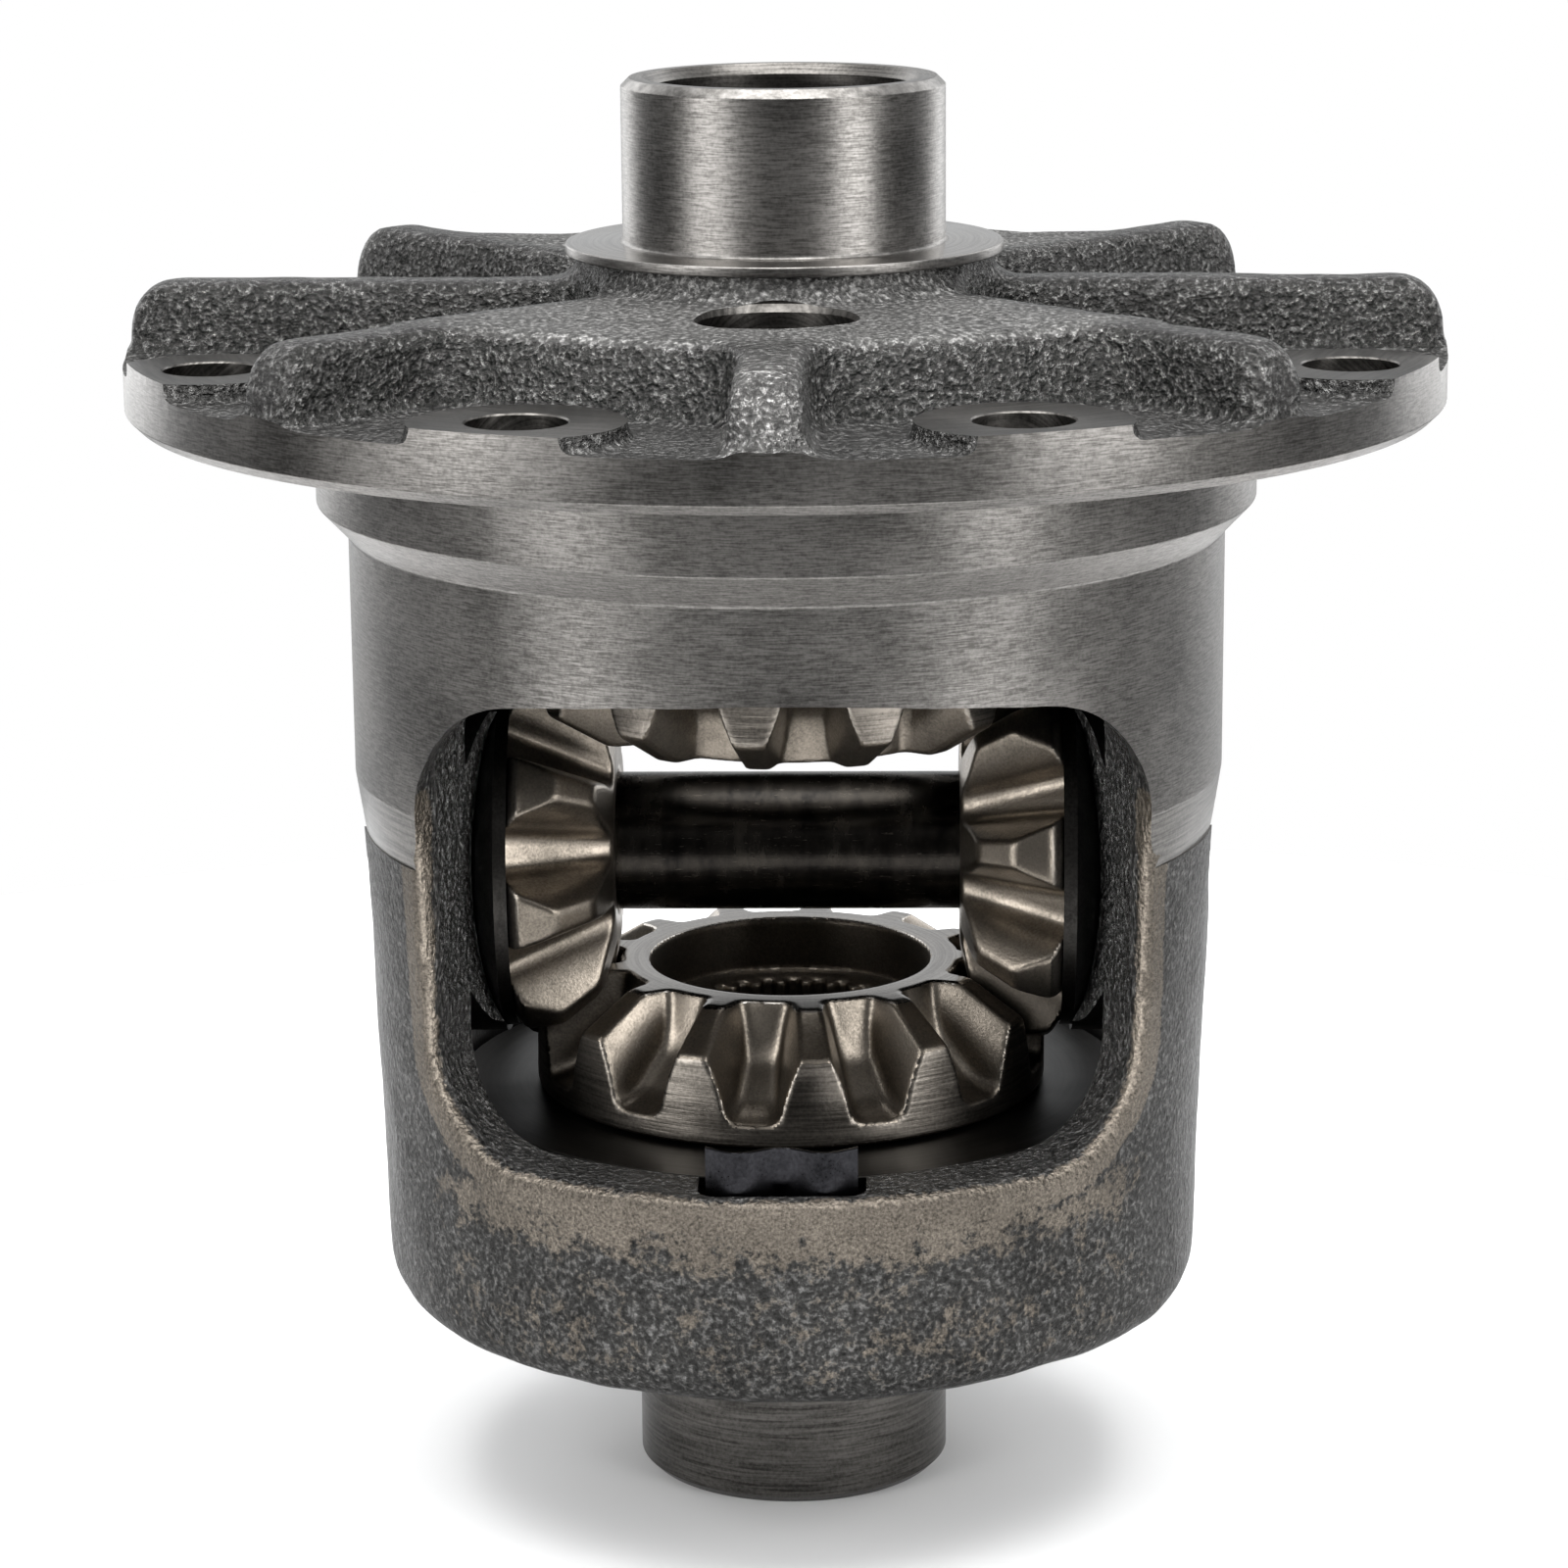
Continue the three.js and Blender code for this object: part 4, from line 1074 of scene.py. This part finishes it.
def steel_plate(name, start, place):
    """A ground steel plate with an ear at the front and the back."""
    ear = math.asin(EAR_HALF / STEEL_OUTER_R)
    tip_r = math.hypot(EAR_HALF, EAR_REACH)
    tip = math.atan2(EAR_HALF, EAR_REACH)
    corners = []
    for centre in (math.pi / 2, 3 * math.pi / 2):
        for r, turn in ((STEEL_OUTER_R, -ear), (tip_r, -tip), (tip_r, tip)):
            a = centre + turn
            corners.append((r * math.cos(a), r * math.sin(a), 0.9))
        sweep = math.pi - 2 * ear
        for i in range(48):
            a = centre + ear + sweep * i / 48
            corners.append((STEEL_OUTER_R * math.cos(a), STEEL_OUTER_R * math.sin(a)))
    outline = rounded(corners, closed=True, steps=3)
    plate = prism(name, outline, start, start + STEEL_THICKNESS, [SHADED_PLATE], 0, 0.12)
    hole = rod("hole", STEEL_INNER_R, start - 1, start + STEEL_THICKNESS + 1, 0, [SHADED_PLATE], 0, 120)
    plate = combine(plate, hole, "DIFFERENCE")
    return smooth(moved(plate, place), 30)


def friction_disc(name, start, place):
    """A lined disc whose inner splines ride on the side gear's hub."""
    disc = lathe(
        name,
        rounded(
            [
                (22, start, 0.1),
                (DISC_OUTER_R, start, 0.2),
                (DISC_OUTER_R, start + DISC_THICKNESS, 0.2),
                (22, start + DISC_THICKNESS, 0.1),
            ],
            closed=True,
        ),
        144,
        [LINING],
        0,
        closed=True,
    )
    step = 2 * math.pi / HUB_SPLINE_COUNT
    root, tip = DISC_SPLINE_ROOT_R, DISC_SPLINE_TIP_R
    outline = []
    for i in range(HUB_SPLINE_COUNT):
        for share, r in ((-0.32, root), (-0.2, tip), (0.2, tip), (0.32, root)):
            a = (i + share) * step
            outline.append((r * math.cos(a), r * math.sin(a)))
    hole = prism("hole", outline, start - 1, start + DISC_THICKNESS + 1, [LINING], 0)
    disc = combine(disc, hole, "DIFFERENCE")
    return smooth(moved(disc, place), 30)


def dished_spring(name, start, place):
    """A coned spring ring that presses the clutch pack together."""
    profile = rounded(
        [
            (SPRING_INNER_R, start, 0.2),
            (SPRING_OUTER_R, start + SPRING_RISE, 0.2),
            (SPRING_OUTER_R, start + SPRING_RISE + SPRING_THICKNESS, 0.2),
            (SPRING_INNER_R, start + SPRING_THICKNESS, 0.2),
        ],
        closed=True,
    )
    made = lathe(name, profile, 144, [SPRING], 0, closed=True)
    return smooth(moved(made, place), 30)


def ear_guide(name, start, place):
    """A blackened spring strip bent into a shallow wave, with its ends curled inwards."""
    count = 56
    outer, inner = [], []
    for i in range(count + 1):
        share = (i - count / 2) / (count / 2)
        wave_in = (1 - math.cos(share * 1.72 * math.pi)) / 2
        lift = max(0, abs(share) - 0.58) * 1.2
        y = max(GUIDE_LEAST_Y, GUIDE_MID_Y + GUIDE_WAVE * wave_in - lift)
        outer.append((share * GUIDE_HALF, y + GUIDE_THICKNESS / 2))
        inner.append((share * GUIDE_HALF, y - GUIDE_THICKNESS / 2))
    made = prism(name, [*outer[::-1], *inner], start, GUIDE_END, [SPRING], 0, 0.12)
    return smooth(moved(made, place), 35)


def stand_for(obj, node):
    """obj takes the place of a CAD node on the same body."""
    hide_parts(node)
    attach(obj, frame["nodes"][node]["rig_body"])


LIFT = shift(z=AXIS_Z)
stand_for(case_detail(), "case")
stand_for(cross_shaft(), "cross_shaft")
stand_for(lock_pin(), "shaft_lock_pin")
for side, sign in (("right", 1), ("left", -1)):
    turn = Matrix.Rotation(sign * math.pi / 2, 4, "Y")
    stand_for(pinion(f"pinion_{side}_detail", LIFT @ turn), f"pinion_{side}")
    stand_for(washer(f"pinion_washer_{side}_detail", turn), f"pinion_washer_{side}")
stand_for(side_gear("side_gear_upper_detail", 0.0, LIFT), "side_gear_upper")
lower_phase = math.pi / SIDE_TEETH
stand_for(
    side_gear("side_gear_lower_detail", lower_phase, LIFT @ FLIP), "side_gear_lower"
)
LEVELS = (("upper", LIFT, GUIDE_UPPER_START), ("lower", LIFT @ FLIP, GUIDE_LOWER_START))
for level, place, guide_start in LEVELS:
    at = PACK_START
    for i in range(1, STEEL_COUNT + 1):
        name = f"steel_plate_{level}_{i}"
        stand_for(steel_plate(name + "_detail", at, place), name)
        at += STEEL_THICKNESS + PACK_GAP
        if i < STEEL_COUNT:
            name = f"friction_disc_{level}_{i}"
            stand_for(friction_disc(name + "_detail", at, place), name)
            at += DISC_THICKNESS + PACK_GAP
    name = f"dished_spring_{level}"
    stand_for(dished_spring(name + "_detail", at, place), name)
    for side, turn in (("back", 0.0), ("front", math.pi)):
        name = f"ear_guide_{level}_{side}"
        at_side = place @ Matrix.Rotation(turn, 4, "Z")
        stand_for(ear_guide(name + "_detail", guide_start, at_side), name)

# ---- stage, light and camera ----
floor_look = Look("pale_floor")
floor_cloud = floor_look.noise(floor_look.places()[0], 0.004, 2.0)
floor_color = floor_look.ramp(floor_cloud, [(0.3, 0.81), (0.7, 0.84)])
floor_look.finish(floor_color, 0.7, 0.0)
rim = [(x, y, -0.02) for x, y in ring_outline(FLOOR_R)]
floor = new_object("floor", rim, [tuple(range(len(rim)))], [floor_look.material])


def softbox(name, azimuth, elevation, distance, width, height, power):
    """A rectangular light that looks at the middle of the object; azimuth 0 is in front."""
    light = bpy.data.lights.new(name, "AREA")
    light.shape = "RECTANGLE"
    light.size, light.size_y = width, height
    light.energy = power
    obj = bpy.data.objects.new(name, light)
    a, e = azimuth * DEG, elevation * DEG
    back = Vector((math.sin(a) * math.cos(e), -math.cos(a) * math.cos(e), math.sin(e)))
    obj.location = Vector((0, 0, 0.1)) + back * distance
    obj.rotation_euler = back.to_track_quat("Z", "Y").to_euler()
    bpy.context.scene.collection.objects.link(obj)


softbox("key_left", -52, 16, 1.3, 0.55, 1.3, 15)
softbox("key_right", 52, 16, 1.3, 0.55, 1.3, 15)
softbox("back_left", -142, 14, 1.5, 0.8, 1.3, 8)
softbox("back_right", 142, 14, 1.5, 0.8, 1.3, 8)
softbox("overhead", 0, 88, 1.2, 1.2, 1.2, 30)

world = bpy.data.worlds.new("studio")
bpy.context.scene.world = world
world.use_nodes = True
tree = world.node_tree
tree.nodes.clear()


def world_node(kind, inputs=None):
    made = tree.nodes.new("ShaderNode" + kind)
    for key, value in (inputs or {}).items():
        if isinstance(value, bpy.types.NodeSocket):
            tree.links.new(value, made.inputs[key])
        else:
            made.inputs[key].default_value = value
    return made


way = world_node("SeparateXYZ", {0: world_node("TexCoord").outputs["Generated"]}).outputs
behind = world_node("MapRange", {0: way[1], 1: 0.0, 2: 0.9, 3: 0.1, 4: 0.68}).outputs[0]
above = world_node("MapRange", {0: way[2], 1: 0.25, 2: 0.9, 3: 0.0, 4: 0.7}).outputs[0]
total = tree.nodes.new("ShaderNodeMath")
tree.links.new(behind, total.inputs[0])
tree.links.new(above, total.inputs[1])
fill = world_node("Background", {0: (0.97, 0.985, 1.0, 1), 1: total.outputs[0]})
seen = world_node("Background", {0: (1.0, 1.0, 1.0, 1), 1: 1.0})
direct = world_node("LightPath").outputs["Is Camera Ray"]
both = world_node("MixShader", {0: direct, 1: fill.outputs[0], 2: seen.outputs[0]})
world_node("OutputWorld", {0: both.outputs[0]})

scene = bpy.context.scene
scene.view_settings.view_transform = "Standard"
camera_data = bpy.data.cameras.new("camera")
camera_data.lens = 106.2
camera_data.sensor_width = 36
camera_data.clip_start, camera_data.clip_end = 0.01, 100
camera = bpy.data.objects.new("camera", camera_data)
spin = Matrix.Rotation(CAMERA_TURN, 4, "Z")
tilt = Euler((math.pi / 2 - CAMERA_TILT, 0, 0)).to_matrix().to_4x4()
roll = Matrix.Rotation(CAMERA_ROLL, 4, "Z")
yaw = Matrix.Rotation(CAMERA_YAW, 4, "Z")
camera.matrix_world = spin @ Matrix.Translation(CAMERA_PLACE) @ yaw @ tilt @ roll
scene.collection.objects.link(camera)
scene.camera = camera
